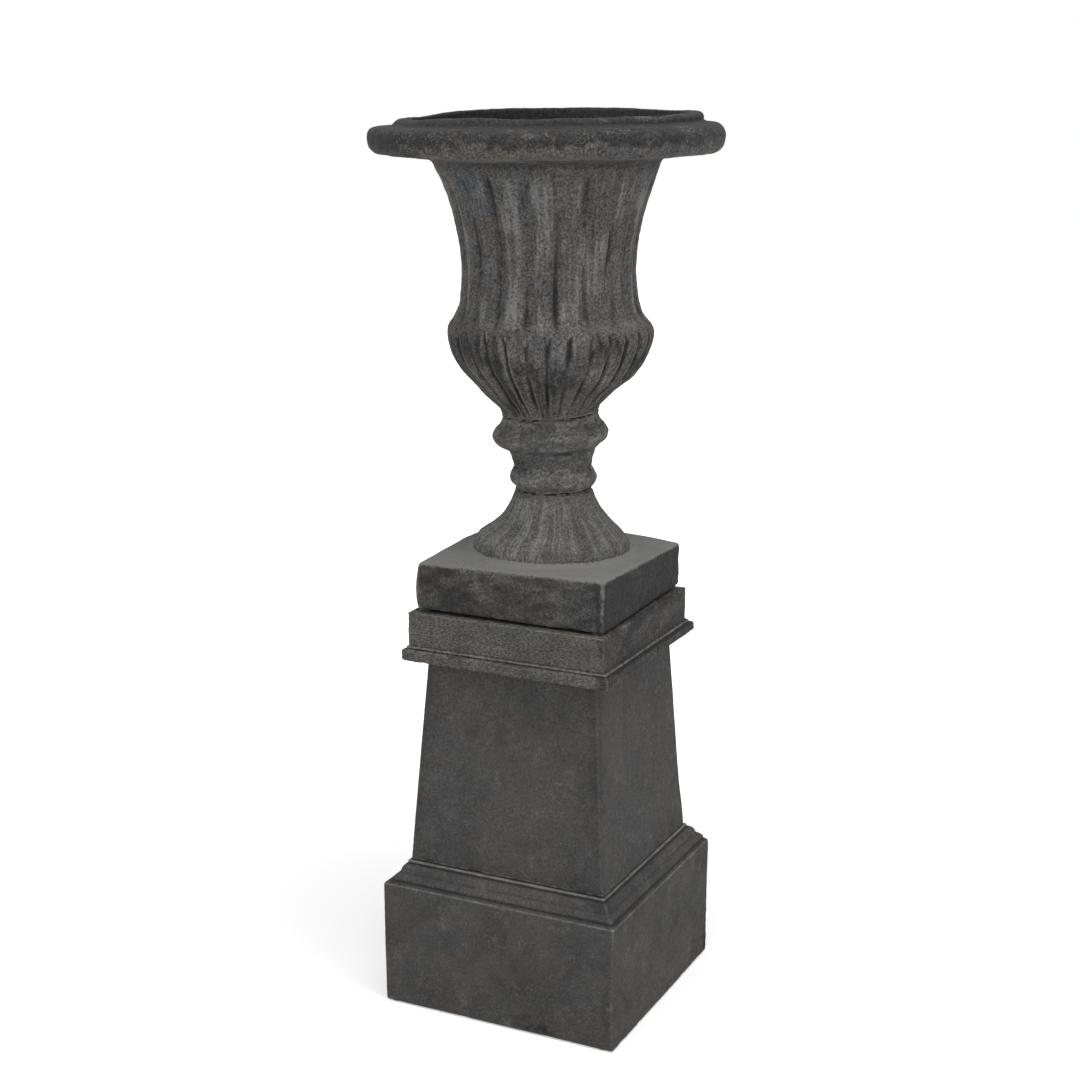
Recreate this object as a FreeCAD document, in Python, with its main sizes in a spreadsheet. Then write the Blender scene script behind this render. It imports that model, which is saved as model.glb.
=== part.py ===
"""Fluted urn planter standing on a square pedestal, as separate castings and their hardware.

Frame: origin on the floor under the centre of the pedestal, +Z up, the pedestal's four faces
square to X and Y. All lengths are in millimetres. Each piece is drawn with its own underside at
zero and placed at its level in the stack, and every level is a sum of the sizes below it.
"""
import FreeCAD, Part
import math
import os

import Sketcher
from FreeCAD import Placement, Rotation, Vector

SIZES = {
    # rubber pads let into the underside of the plinth
    "pad_radius": 11,
    "pad_recess": 4,
    "pad_stand": 2,
    # plinth: hollow block, stepped moulding and the deck that carries the die
    "plinth_width": 350,
    "plinth_wall": 30,
    "plinth_block_height": 178.4,
    "plinth_deck": 30,
    "plinth_opening": 140,
    "moulding_step": 7,
    "moulding_fillet": 3,
    "ovolo_run": 7,
    "ovolo_rise": 9,
    "cove_run": 9.5,
    "cove_rise": 9.6,
    "bead_rise": 5.3,
    "bead_bulge": 2,
    # die: the tapered hollow shaft of the pedestal
    "die_foot_width": 292,
    "die_top_width": 253.2,
    "die_height": 293.7,
    "die_wall": 22,
    # cap: rounded ledge, upright fascia and a deck with a drain hole
    "ledge_width": 306.2,
    "ledge_height": 16.4,
    "ledge_round": 4,
    "cap_width": 290.6,
    "fascia_height": 48,
    "cap_deck": 24,
    "cap_cavity_setback": 4.6,
    "cap_drain_radius": 25,
    # mortar beds between the castings
    "square_bed_thick": 1.5,
    "square_bed_setback": 3,
    "round_bed_thick": 2,
    "round_bed_setback": 2.5,
    # steel dowels through the square beds
    "dowel_radius": 6,
    "dowel_depth": 22,
    "dowel_end_gap": 0.5,
    # urn foot: square block and trumpet in one casting
    "urn_stand": 3.1,
    "block_width": 274,
    "block_height": 64.2,
    "block_corner_radius": 5,
    "block_edge_radius": 4,
    "block_wall": 22,
    "block_web": 22,
    "bumper_radius": 8,
    "bumper_recess": 2,
    "apron_radius": 119,
    "apron_rise": 5,
    "base_roll_radius": 107.5,
    "base_roll_rise": 23,
    "base_roll_draw": 5,
    "trumpet_rise": 61.3,
    "trumpet_sag": 6,
    "trumpet_wall": 20,
    "neck_web": 22,
    "neck_lip": 2,
    "neck_radius": 54,
    # urn stem: small ring, waist and knop
    "ring_radius": 59,
    "ring_rise": 26,
    "stem_waist_radius": 53.4,
    "stem_waist_rise": 28,
    "knop_foot_radius": 60.7,
    "knop_radius": 79.2,
    "knop_rise": 27,
    "knop_top_radius": 75.5,
    "collar_cove_rise": 18,
    "collar_radius": 65.5,
    "collar_rise": 3,
    # urn bowl, levels measured up from its own underside
    "bowl_seat_radius": 66.3,
    "bowl_seat_rise": 8,
    "bowl_throat_radius": 69,
    "belly_radius": 140,
    "belly_level": 107,
    "belly_curve": 75,
    "waist_radius": 117.2,
    "waist_level": 193,
    "shoulder_curve": 178,
    "shoulder_drop": 60,
    "flare_curve": 300,
    "flare_rise": 134,
    "rim_cove": 9,
    "rim_level": 339,
    "rim_foot_radius": 226,
    "rim_radius": 234.3,
    "rim_swell_rise": 18.5,
    "rim_roll_rise": 45,
    "rim_roll_top_radius": 214,
    "rim_step_radius": 203,
    "rim_step_rise": 4,
    "lip_rise": 12,
    "lip_radius": 191.5,
    "mouth_radius": 184,
    "mouth_depth": 24,
    "bowl_wall": 18,
    "bowl_floor_thick": 29,
    "bowl_floor_radius": 50,
    # grooves between the flutes of the body and between the gadroons of the belly
    "flute_groove_radius": 6,
    "flute_groove_stand": 2,
    "gadroon_gap_radius": 5.5,
    "gadroon_gap_stand": 1.5,
    "gadroon_gap_run": 52,
    # hollow threaded tube that ties the urn together and drains it
    "tube_radius": 13,
    "tube_bore_radius": 9.5,
    "tube_chamfer": 0.8,
    "tube_tail": 8,
    "tube_head": 4,
    "bore_gap": 1,
    "thread_gap": 0.1,
    "seal_radius": 30,
    "seal_thick": 3,
    "washer_radius": 28,
    "washer_thick": 3,
    "nut_flats": 41,
    "nut_height": 12,
    "plate_width": 60,
    "plate_thick": 6,
    "plate_end_gap": 9,
    # rubber plug in the top of the tube
    "plug_gap": 0.3,
    "plug_shank": 16,
    "plug_head_radius": 14,
    "plug_head_thick": 4,
    "plug_tab_width": 16,
    "plug_tab_thick": 4,
    "plug_tab_height": 15,
    "plug_tab_hole_radius": 3.5,
    # room round a loose fit, and under what rests on another body
    "fit_gap": 0.2,
    "seat_gap": 0.2,
}
FLUTES = 20
GADROONS = 30
FLUTE_SWEEP_UP = 25.5
FLUTE_SWEEP_DOWN = 10
BELLY_TURN = 53.13
BOWL_TURN = 11.7
HEX_SIDES = 6
START_AND_END = 3
FEATURE_ERRORS = ("Invalid", "Error")


class Size:
    """A length that keeps its number together with the sheet expression that gives it."""

    def __init__(self, number, text=None):
        self.number = float(number)
        self.text = text or repr(float(number))

    def join(self, other, sign, number):
        return Size(number, "(%s %s %s)" % (self.text, sign, other.text))

    def __add__(self, other):
        other = as_size(other)
        return self.join(other, "+", self.number + other.number)

    def __sub__(self, other):
        other = as_size(other)
        return self.join(other, "-", self.number - other.number)

    def __mul__(self, other):
        other = as_size(other)
        return self.join(other, "*", self.number * other.number)

    def __truediv__(self, other):
        other = as_size(other)
        return self.join(other, "/", self.number / other.number)

    def __neg__(self):
        return as_size(0) - self


def as_size(value):
    return value if isinstance(value, Size) else Size(value)


def root(size):
    return Size(math.sqrt(size.number), "sqrt(%s)" % size.text)


def middle(first, second):
    return (first + second) / 2


doc = FreeCAD.newDocument("urn_planter")
sheet = doc.addObject("Spreadsheet::Sheet", "sizes")
for row, (alias, value) in enumerate(SIZES.items(), 1):
    sheet.set("A%d" % row, alias)
    sheet.set("B%d" % row, str(value))
    sheet.setAlias("B%d" % row, alias)
doc.recompute()
S = {alias: Size(value, "sizes." + alias) for alias, value in SIZES.items()}

# ---------------------------------------------------------------- sketches and features


def new_body(label, level, pieces=1, turn=0):
    """Body at its level in the stack, turned in degrees; pieces is how many solids it holds."""
    body = doc.addObject("PartDesign::Body", label)
    body.Label = label
    body.AllowCompound = pieces > 1
    body.Placement = Placement(Vector(0, 0, level.number), Rotation(Vector(0, 0, 1), turn))
    body.setExpression("Placement.Base.z", level.text)
    solids_expected[label] = pieces
    return body


def origin_feature(body, role):
    return next(item for item in body.Origin.OriginFeatures if item.Role == role)


def new_sketch(body, name, role, level=None):
    sketch = body.newObject("Sketcher::SketchObject", body.Name + "_" + name)
    sketch.AttachmentSupport = (origin_feature(body, role), [""])
    sketch.MapMode = "FlatFace"
    if level is not None:
        sketch.AttachmentOffset = Placement(Vector(0, 0, level.number), Rotation())
        sketch.setExpression("AttachmentOffset.Base.z", level.text)
    return sketch


def bind(sketch, kind, places, size):
    """Dimension one part of a sketch and tie it to the sheet."""
    size = as_size(size)
    index = sketch.addConstraint(Sketcher.Constraint(kind, *places, size.number))
    if "sizes." in size.text:
        sketch.setExpression("Constraints[%d]" % index, size.text)


def pin(sketch, geometry, end, x, y):
    bind(sketch, "DistanceX", (-1, 1, geometry, end), x)
    bind(sketch, "DistanceY", (-1, 1, geometry, end), y)


def at(x, y):
    return Vector(as_size(x).number, as_size(y).number, 0)


def draw_chain(sketch, points, closed=True):
    """Lines and arcs through fixed points: (x, y) is a line's end, (via x, via y, x, y) an arc's.

    A sketch numbers an edge's start 1 and its end 2, so one of them is START_AND_END less the other.
    """
    count = len(points) if closed else len(points) - 1
    heads = []
    for index in range(count):
        start = points[index]
        stop = points[(index + 1) % len(points)]
        first = at(*start[-2:])
        last = at(*stop[-2:])
        if len(stop) == 2:
            edge = sketch.addGeometry(Part.LineSegment(first, last))
            head = 1
        else:
            via = at(*stop[:2])
            anticlockwise = (via - first).cross(last - via).z > 0
            ends = (first, last) if anticlockwise else (last, first)
            edge = sketch.addGeometry(Part.Arc(ends[0], via, ends[1]))
            head = 1 if anticlockwise else 2
        heads.append((edge, head))
    for index, (edge, head) in enumerate(heads):
        pin(sketch, edge, head, *points[index][-2:])
    for (edge, head), (after, after_head) in zip(heads, heads[1:] + heads[:1] * closed):
        tail = START_AND_END - head
        sketch.addConstraint(Sketcher.Constraint("Coincident", edge, tail, after, after_head))
    if not closed:
        edge, head = heads[-1]
        pin(sketch, edge, START_AND_END - head, *points[-1][-2:])
    for index, (edge, head) in enumerate(heads):
        stop = points[(index + 1) % len(points)]
        if len(stop) == 4:
            mark = sketch.addGeometry(Part.Point(at(*stop[:2])), True)
            pin(sketch, mark, 1, *stop[:2])
            sketch.addConstraint(Sketcher.Constraint("PointOnObject", mark, 1, edge))


def draw_circle(sketch, x, y, radius):
    edge = sketch.addGeometry(Part.Circle(at(x, y), Vector(0, 0, 1), as_size(radius).number))
    bind(sketch, "Radius", (edge,), radius)
    pin(sketch, edge, 3, x, y)


def rectangle(width, depth):
    """Corners of a rectangle centred on the origin."""
    return [
        (-width / 2, -depth / 2),
        (width / 2, -depth / 2),
        (width / 2, depth / 2),
        (-width / 2, depth / 2),
    ]


def corners(reach):
    return [(-reach, -reach), (reach, -reach), (reach, reach), (-reach, reach)]


def revolve(body, name, points, kind="PartDesign::Revolution"):
    """Turn an outline of (radius, height) points about the body's own axis."""
    sketch = new_sketch(body, name + "_outline", "XZ_Plane")
    draw_chain(sketch, points)
    feature = body.newObject(kind, body.Name + "_" + name)
    feature.Profile = sketch
    feature.ReferenceAxis = (sketch, ["V_Axis"])
    feature.Angle = 360
    doc.recompute()
    return feature


def square_ring(body, name, points, reach):
    """Carry an outline of (half width, height) points round a square, mitred at its corners."""
    path = new_sketch(body, name + "_path", "XY_Plane")
    draw_chain(path, corners(reach))
    sketch = new_sketch(body, name + "_outline", "XZ_Plane")
    draw_chain(sketch, points)
    doc.recompute()
    feature = body.newObject("PartDesign::AdditivePipe", body.Name + "_" + name)
    feature.Profile = sketch
    feature.Spine = (path, ["Edge1", "Edge2", "Edge3", "Edge4"])
    feature.Transition = "Right corner"
    doc.recompute()
    return feature


def pad(body, name, draw, height, level=None):
    sketch = new_sketch(body, name + "_outline", "XY_Plane", level)
    draw(sketch)
    feature = body.newObject("PartDesign::Pad", body.Name + "_" + name)
    feature.Profile = sketch
    feature.Length = height.number
    feature.setExpression("Length", height.text)
    doc.recompute()
    return feature


def pocket(body, name, draw, depth, level=None, upward=True, role="XY_Plane"):
    """Cut a sketch's shapes upward or downward from a level and make sure that stone came away."""
    before = body.Shape.Volume
    sketch = new_sketch(body, name + "_outline", role, level)
    draw(sketch)
    feature = body.newObject("PartDesign::Pocket", body.Name + "_" + name)
    feature.Profile = sketch
    feature.Reversed = upward
    feature.Length = depth.number
    feature.setExpression("Length", depth.text)
    doc.recompute()
    if not body.Shape.Volume < before:
        raise RuntimeError("%s cuts nothing from %s" % (name, body.Label))
    return feature


def round_pattern(body, feature, count):
    pattern = body.newObject("PartDesign::PolarPattern", feature.Name + "_round")
    pattern.Originals = [feature]
    pattern.Axis = (origin_feature(body, "Z_Axis"), [""])
    pattern.Angle = 360
    pattern.Occurrences = count
    body.Tip = pattern
    doc.recompute()
    return pattern


def circles(places, radius):
    def draw(sketch):
        for x, y in places:
            draw_circle(sketch, x, y, radius)
    return draw


def ring(outer, inner):
    def draw(sketch):
        draw_circle(sketch, 0, 0, outer)
        draw_circle(sketch, 0, 0, inner)
    return draw


def outline(points):
    def draw(sketch):
        draw_chain(sketch, points)
    return draw


solids_expected = {}
centre = [(as_size(0), as_size(0))]

# ---------------------------------------------------------------- levels of the stack

moulding_rise = S["moulding_fillet"] + S["ovolo_rise"] + S["cove_rise"] + S["bead_rise"]
plinth_height = S["plinth_block_height"] + moulding_rise
cap_height = S["ledge_height"] + S["fascia_height"]
foot_height = (S["block_height"] + S["apron_rise"] + S["base_roll_rise"] + S["trumpet_rise"]
               + S["neck_lip"])
stem_height = (S["ring_rise"] + S["stem_waist_rise"] + S["knop_rise"] + S["collar_cove_rise"]
               + S["collar_rise"])

plinth_level = S["pad_stand"]
die_bed_level = plinth_level + plinth_height
die_level = die_bed_level + S["square_bed_thick"]
cap_bed_level = die_level + S["die_height"]
cap_level = cap_bed_level + S["square_bed_thick"]
cap_top = cap_level + cap_height
foot_level = cap_top + S["urn_stand"]
stem_bed_level = foot_level + foot_height
stem_level = stem_bed_level + S["round_bed_thick"]
bowl_bed_level = stem_level + stem_height
bowl_level = bowl_bed_level + S["round_bed_thick"]

seal_level = bowl_level + S["bowl_floor_thick"]
bowl_washer_level = seal_level + S["seal_thick"]
bowl_nut_level = bowl_washer_level + S["washer_thick"]
tube_top = bowl_nut_level + S["nut_height"] + S["tube_head"]
plate_level = foot_level + S["block_height"] - S["block_web"] - S["plate_thick"]
clamp_washer_level = plate_level - S["washer_thick"]
clamp_nut_level = clamp_washer_level - S["nut_height"]
tube_level = clamp_nut_level - S["tube_tail"]

bore_radius = S["tube_radius"] + S["bore_gap"]
thread_radius = S["tube_radius"] + S["thread_gap"]
dowel_hole_radius = S["dowel_radius"] + S["fit_gap"]
foot_dowels = corners((S["die_foot_width"] - S["die_wall"]) / 2)
top_dowels = corners((S["die_top_width"] - S["die_wall"]) / 2)
die_foot_opening = S["die_foot_width"] / 2 - S["die_wall"]
die_top_opening = S["die_top_width"] / 2 - S["die_wall"]

# ---------------------------------------------------------------- pedestal


def make_plinth():
    body = new_body("pedestal_plinth", plinth_level)
    half = S["plinth_width"] / 2
    inside = half - S["plinth_wall"]
    hole = S["plinth_opening"] / 2
    block = S["plinth_block_height"]
    fillet = half - S["moulding_step"]
    ovolo = fillet - S["ovolo_run"]
    cove = ovolo - S["cove_run"]
    fillet_top = block + S["moulding_fillet"]
    ovolo_top = fillet_top + S["ovolo_rise"]
    cove_top = ovolo_top + S["cove_rise"]
    top = plinth_height
    square_ring(body, "shell", [
        (inside, as_size(0)),
        (half, as_size(0)),
        (half, block),
        (fillet, block),
        (fillet, fillet_top),
        (fillet - S["ovolo_run"] * 0.25, fillet_top + S["ovolo_rise"] * 0.7, ovolo, ovolo_top),
        (ovolo - S["cove_run"] * 0.7, ovolo_top + S["cove_rise"] * 0.3, cove, cove_top),
        (cove + S["bead_bulge"], middle(cove_top, top), cove, top),
        (hole, top),
        (hole, top - S["plinth_deck"]),
        (inside, top - S["plinth_deck"]),
    ], inside)
    pads = corners(half - S["plinth_wall"] / 2)
    pocket(body, "pad_recesses", circles(pads, S["pad_radius"] + S["fit_gap"]), S["pad_recess"])
    pocket(body, "dowel_holes", circles(foot_dowels, dowel_hole_radius),
           S["dowel_depth"], top - S["dowel_depth"])


def make_pads():
    body = new_body("floor_pads", as_size(0), 4)
    pads = corners((S["plinth_width"] - S["plinth_wall"]) / 2)
    pad(body, "discs", circles(pads, S["pad_radius"]), S["pad_stand"] + S["pad_recess"])


def make_die():
    body = new_body("pedestal_die", die_level)
    height = S["die_height"]
    square_ring(body, "shell", [
        (die_foot_opening, as_size(0)),
        (S["die_foot_width"] / 2, as_size(0)),
        (S["die_top_width"] / 2, height),
        (die_top_opening, height),
    ], die_top_opening)
    pocket(body, "foot_dowel_holes", circles(foot_dowels, dowel_hole_radius), S["dowel_depth"])
    pocket(body, "top_dowel_holes", circles(top_dowels, dowel_hole_radius),
           S["dowel_depth"], height - S["dowel_depth"])


def make_cap():
    body = new_body("pedestal_cap", cap_level)
    half = S["cap_width"] / 2
    ledge = S["ledge_width"] / 2
    inside = die_top_opening - S["cap_cavity_setback"]
    shoulder = ledge - S["ledge_round"]
    ledge_top = S["ledge_height"]
    square_ring(body, "rim", [
        (inside, as_size(0)),
        (shoulder, as_size(0)),
        (ledge, ledge_top / 2, shoulder, ledge_top),
        (half, ledge_top),
        (half, cap_height),
        (inside, cap_height),
    ], inside)
    pad(body, "deck", outline(rectangle(inside * 2, inside * 2)), S["cap_deck"],
        cap_height - S["cap_deck"])
    pocket(body, "drain_hole", circles(centre, S["cap_drain_radius"]), S["cap_deck"],
           cap_height - S["cap_deck"])
    pocket(body, "dowel_holes", circles(top_dowels, dowel_hole_radius), S["dowel_depth"])


def make_square_bed(label, level, outer, inner, dowels):
    """Mortar bed between two square castings, set back from their faces."""
    body = new_body(label, level)
    pad(body, "bed", outline(rectangle(outer * 2, outer * 2)), S["square_bed_thick"])
    pocket(body, "opening", outline(rectangle(inner * 2, inner * 2)), S["square_bed_thick"])
    pocket(body, "dowel_holes", circles(dowels, dowel_hole_radius), S["square_bed_thick"])


def make_dowels(label, bed_level, places):
    """Four dowels that reach from the lower casting through the bed into the upper one."""
    body = new_body(label, bed_level - S["dowel_depth"], 4)
    length = S["dowel_depth"] * 2 + S["square_bed_thick"] - S["dowel_end_gap"]
    pad(body, "pins", circles(places, S["dowel_radius"]), length)


# ---------------------------------------------------------------- urn castings


def make_foot():
    body = new_body("urn_foot", foot_level)
    half = S["block_width"] / 2
    block_top = S["block_height"]
    block = pad(body, "block", outline(rectangle(half * 2, half * 2)), block_top)
    uprights = [
        "Edge%d" % number
        for number, edge in enumerate(body.Shape.Edges, 1)
        if abs(edge.tangentAt(edge.FirstParameter).z) > 0.99
    ]
    rounding = body.newObject("PartDesign::Fillet", "urn_foot_corner_round")
    rounding.Base = (block, uprights)
    rounding.Radius = S["block_corner_radius"].number
    rounding.setExpression("Radius", S["block_corner_radius"].text)
    doc.recompute()
    top_edges = [
        "Edge%d" % number
        for number, edge in enumerate(body.Shape.Edges, 1)
        if min(vertex.Z for vertex in edge.Vertexes) > (foot_level + block_top).number - 0.01
    ]
    arris = body.newObject("PartDesign::Fillet", "urn_foot_arris_round")
    arris.Base = (rounding, top_edges)
    arris.Radius = S["block_edge_radius"].number
    arris.setExpression("Radius", S["block_edge_radius"].text)
    doc.recompute()

    roll_foot = block_top + S["apron_rise"]
    roll_top = roll_foot + S["base_roll_rise"]
    trumpet_top = roll_top + S["trumpet_rise"]
    roll = S["base_roll_radius"]
    drawn = roll - S["base_roll_draw"]
    neck = S["neck_radius"]
    web = block_top - S["block_web"]
    revolve(body, "trumpet", [
        (as_size(0), web),
        (S["apron_radius"], web),
        (S["apron_radius"], block_top),
        (middle(S["apron_radius"], roll) - S["apron_rise"] * 0.3,
         block_top + S["apron_rise"] * 0.3, roll, roll_foot),
        (roll + S["apron_rise"] * 0.1, roll_foot + S["base_roll_rise"] * 0.45, drawn, roll_top),
        (middle(drawn, neck) - S["trumpet_sag"], middle(roll_top, trumpet_top) - S["trumpet_sag"],
         neck, trumpet_top),
        (neck, foot_height),
        (as_size(0), foot_height),
    ])
    pocket(body, "hollow", outline(rectangle((half - S["block_wall"]) * 2,
                                             (half - S["block_wall"]) * 2)), web)
    inner_foot = roll - S["trumpet_wall"]
    inner_neck = neck - S["trumpet_wall"]
    inner_top = foot_height - S["neck_web"]
    inner_sag = S["trumpet_sag"] * 1.6
    revolve(body, "flue", [
        (as_size(0), web - S["plate_thick"]),
        (inner_foot, web - S["plate_thick"]),
        (inner_foot, roll_foot),
        (middle(inner_foot, inner_neck) - inner_sag, middle(roll_foot, inner_top) - inner_sag,
         inner_neck, inner_top),
        (bore_radius, inner_top),
        (bore_radius, foot_height + S["neck_lip"]),
        (as_size(0), foot_height + S["neck_lip"]),
    ], "PartDesign::Groove")
    places = corners(half - S["block_wall"] / 2)
    pocket(body, "bumper_recesses", circles(places, S["bumper_radius"] + S["fit_gap"]),
           S["bumper_recess"])


def make_bumpers():
    body = new_body("urn_bumpers", cap_top + S["seat_gap"], 4)
    places = corners((S["block_width"] - S["block_wall"]) / 2)
    height = S["urn_stand"] + S["bumper_recess"] - S["seat_gap"]
    pad(body, "discs", circles(places, S["bumper_radius"]), height)


def make_stem():
    body = new_body("urn_stem", stem_level)
    ring_top = S["ring_rise"]
    waist_top = ring_top + S["stem_waist_rise"]
    knop_top = waist_top + S["knop_rise"]
    cove_top = knop_top + S["collar_cove_rise"]
    waist = S["stem_waist_radius"]
    knop_foot = S["knop_foot_radius"]
    knop_side = S["knop_top_radius"]
    collar = S["collar_radius"]
    revolve(body, "casting", [
        (bore_radius, as_size(0)),
        (waist, as_size(0)),
        (waist, S["neck_lip"]),
        (S["ring_radius"], middle(S["neck_lip"], ring_top), waist, ring_top),
        (middle(waist, knop_foot) - 1, middle(ring_top, waist_top), knop_foot, waist_top),
        (knop_side, waist_top + S["knop_rise"] * 0.35),
        (S["knop_radius"], waist_top + S["knop_rise"] * 0.66, knop_side, knop_top),
        (middle(knop_side, collar) - 2, middle(knop_top, cove_top) - 1, collar, cove_top),
        (collar, stem_height),
        (bore_radius, stem_height),
    ])


def make_round_bed(label, level, radius):
    """Mortar bed between two round castings, set back from their faces."""
    body = new_body(label, level)
    pad(body, "bed", ring(radius - S["round_bed_setback"], bore_radius), S["round_bed_thick"])


def meridian(axis_radius, axis_height, curve, degrees):
    """Point of a circle in the plane of the section, at an angle from the horizontal."""
    turn = math.radians(degrees)
    return axis_radius + curve * math.cos(turn), axis_height + curve * math.sin(turn)


def make_bowl():
    body = new_body("urn_bowl", bowl_level, turn=BOWL_TURN)
    wall = S["bowl_wall"]
    waist = S["waist_radius"]
    waist_up = S["waist_level"]
    belly_axis = S["belly_radius"] - S["belly_curve"]
    belly_up = S["belly_level"]
    flare_axis = waist + S["flare_curve"]
    shoulder_axis = waist + S["shoulder_curve"]
    shoulder_up = waist_up - S["shoulder_drop"]
    flare_up = waist_up + S["flare_rise"]
    lip_top = S["rim_level"] + S["rim_roll_rise"] + S["rim_step_rise"] + S["lip_rise"]
    roll_top = S["rim_level"] + S["rim_roll_rise"]

    def flare(rise, thick):
        curve = S["flare_curve"] + thick
        return flare_axis - root(curve * curve - rise * rise)

    def shoulder(drop, thick):
        curve = S["shoulder_curve"] + thick
        return shoulder_axis - root(curve * curve - drop * drop)

    shoulder_foot = shoulder(S["shoulder_drop"], 0)
    flare_top = flare(S["flare_rise"], 0)
    half_drop = S["shoulder_drop"] / 2
    half_rise = S["flare_rise"] / 2
    inner_curve = S["belly_curve"] - wall
    revolve(body, "casting", [
        (bore_radius, as_size(0)),
        (S["bowl_seat_radius"], as_size(0)),
        (S["bowl_throat_radius"], S["bowl_seat_rise"]),
        meridian(belly_axis, belly_up, S["belly_curve"], -BELLY_TURN),
        meridian(belly_axis, belly_up, S["belly_curve"], -BELLY_TURN / 2)
        + (S["belly_radius"], belly_up),
        (middle(S["belly_radius"], shoulder_foot) + S["shoulder_drop"] * 0.06,
         middle(belly_up, shoulder_up), shoulder_foot, shoulder_up),
        (shoulder(half_drop, 0), waist_up - half_drop, waist, waist_up),
        (flare(half_rise, 0), waist_up + half_rise, flare_top, flare_up),
        (flare_top + S["rim_cove"] * 0.3, flare_up + S["rim_cove"] * 0.7,
         flare_top + S["rim_cove"], flare_up + S["rim_cove"]),
        (S["rim_foot_radius"], S["rim_level"]),
        (S["rim_radius"], S["rim_level"] + S["rim_swell_rise"], S["rim_roll_top_radius"], roll_top),
        (S["rim_step_radius"], roll_top + S["rim_step_rise"]),
        (middle(S["rim_step_radius"], S["lip_radius"]) + 2.6, lip_top - S["lip_rise"] * 0.36,
         S["lip_radius"], lip_top),
        (S["mouth_radius"], lip_top),
        (S["mouth_radius"], lip_top - S["mouth_depth"]),
        (flare(S["flare_rise"], wall), flare_up),
        (flare(half_rise, wall), waist_up + half_rise, waist - wall, waist_up),
        (shoulder(half_drop, wall), waist_up - half_drop,
         shoulder(S["shoulder_drop"], wall), shoulder_up),
        (belly_axis + inner_curve, belly_up),
        meridian(belly_axis, belly_up, inner_curve, -BELLY_TURN / 2)
        + meridian(belly_axis, belly_up, inner_curve, -BELLY_TURN),
        (S["bowl_floor_radius"], S["bowl_floor_thick"]),
        (bore_radius, S["bowl_floor_thick"]),
    ])
    make_flutes(body, flare_axis)
    make_gadroon_gaps(body, belly_axis)


def make_flutes(body, flare_axis):
    """Round-bottomed grooves that follow the flare of the body, from the shoulder to the rim."""
    sketch = new_sketch(body, "flute_section", "XY_Plane", S["waist_level"])
    reach = S["waist_radius"] + S["flute_groove_stand"]
    draw_circle(sketch, reach, 0, S["flute_groove_radius"])
    axis = sketch.addGeometry(Part.LineSegment(at(flare_axis, -1), at(flare_axis, 1)), True)
    pin(sketch, axis, 1, flare_axis, -1)
    pin(sketch, axis, 2, flare_axis, 1)
    doc.recompute()
    groove = body.newObject("PartDesign::Groove", "flute_groove")
    groove.Profile = sketch
    groove.ReferenceAxis = (sketch, ["Axis0"])
    groove.Type = "TwoAngles"
    groove.Angle = FLUTE_SWEEP_UP
    groove.Angle2 = FLUTE_SWEEP_DOWN
    doc.recompute()
    round_pattern(body, groove, FLUTES)


def make_gadroon_gaps(body, belly_axis):
    """Round-bottomed gaps between the gadroons, round the belly and straight to the throat."""
    curve = S["belly_curve"] + S["gadroon_gap_stand"]
    up = S["belly_level"]
    turn = math.radians(BELLY_TURN)
    bend = meridian(belly_axis, up, curve, -BELLY_TURN)
    tip = (bend[0] - S["gadroon_gap_run"] * math.sin(turn),
           bend[1] - S["gadroon_gap_run"] * math.cos(turn))
    path = new_sketch(body, "gap_path", "YZ_Plane")
    draw_chain(path, [
        tip,
        bend,
        meridian(belly_axis, up, curve, -BELLY_TURN / 2) + (belly_axis + curve, up),
    ], closed=False)
    section = new_sketch(body, "gap_section", "XY_Plane", up)
    draw_circle(section, 0, belly_axis + curve, S["gadroon_gap_radius"])
    doc.recompute()
    gap = body.newObject("PartDesign::SubtractivePipe", "gadroon_gap")
    gap.Profile = section
    gap.Spine = (path, ["Edge1", "Edge2"])
    doc.recompute()
    round_pattern(body, gap, GADROONS)


# ---------------------------------------------------------------- tie tube and its fittings


def make_ring(label, level, outer, inner, thick):
    body = new_body(label, level)
    pad(body, "ring", ring(outer, inner), thick)


def make_tube():
    body = new_body("tie_tube", tube_level)
    chamfer = S["tube_chamfer"]
    length = tube_top - tube_level
    revolve(body, "wall", [
        (S["tube_bore_radius"], as_size(0)),
        (S["tube_radius"] - chamfer, as_size(0)),
        (S["tube_radius"], chamfer),
        (S["tube_radius"], length - chamfer),
        (S["tube_radius"] - chamfer, length),
        (S["tube_bore_radius"], length),
    ])


def make_nut(label, level):
    """Hexagon nut with its corners turned down on both faces."""
    body = new_body(label, level)
    height = S["nut_height"]
    reach = S["nut_flats"] / (2 * math.cos(math.pi / HEX_SIDES))
    hexagon = [
        (reach * math.cos(2 * math.pi * side / HEX_SIDES),
         reach * math.sin(2 * math.pi * side / HEX_SIDES))
        for side in range(HEX_SIDES)
    ]
    pad(body, "hexagon", outline(hexagon), height)
    pocket(body, "thread", circles(centre, thread_radius), height)
    face = S["nut_flats"] / 2
    drop = (reach - face) * 0.6
    past = reach + drop
    for name, top, side in (("top", height, height - drop * 2), ("foot", as_size(0), drop * 2)):
        revolve(body, name + "_chamfer", [
            (face, top),
            (past, top),
            (past, side),
        ], "PartDesign::Groove")


def make_plate():
    """Flat bar across the hollow of the foot, bearing on the web either side of the flue."""
    body = new_body("clamp_plate", plate_level)
    length = S["block_width"] - S["block_wall"] * 2 - S["plate_end_gap"] * 2
    pad(body, "bar", outline(rectangle(length, S["plate_width"])), S["plate_thick"])
    pocket(body, "tube_hole", circles(centre, bore_radius), S["plate_thick"])


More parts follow.
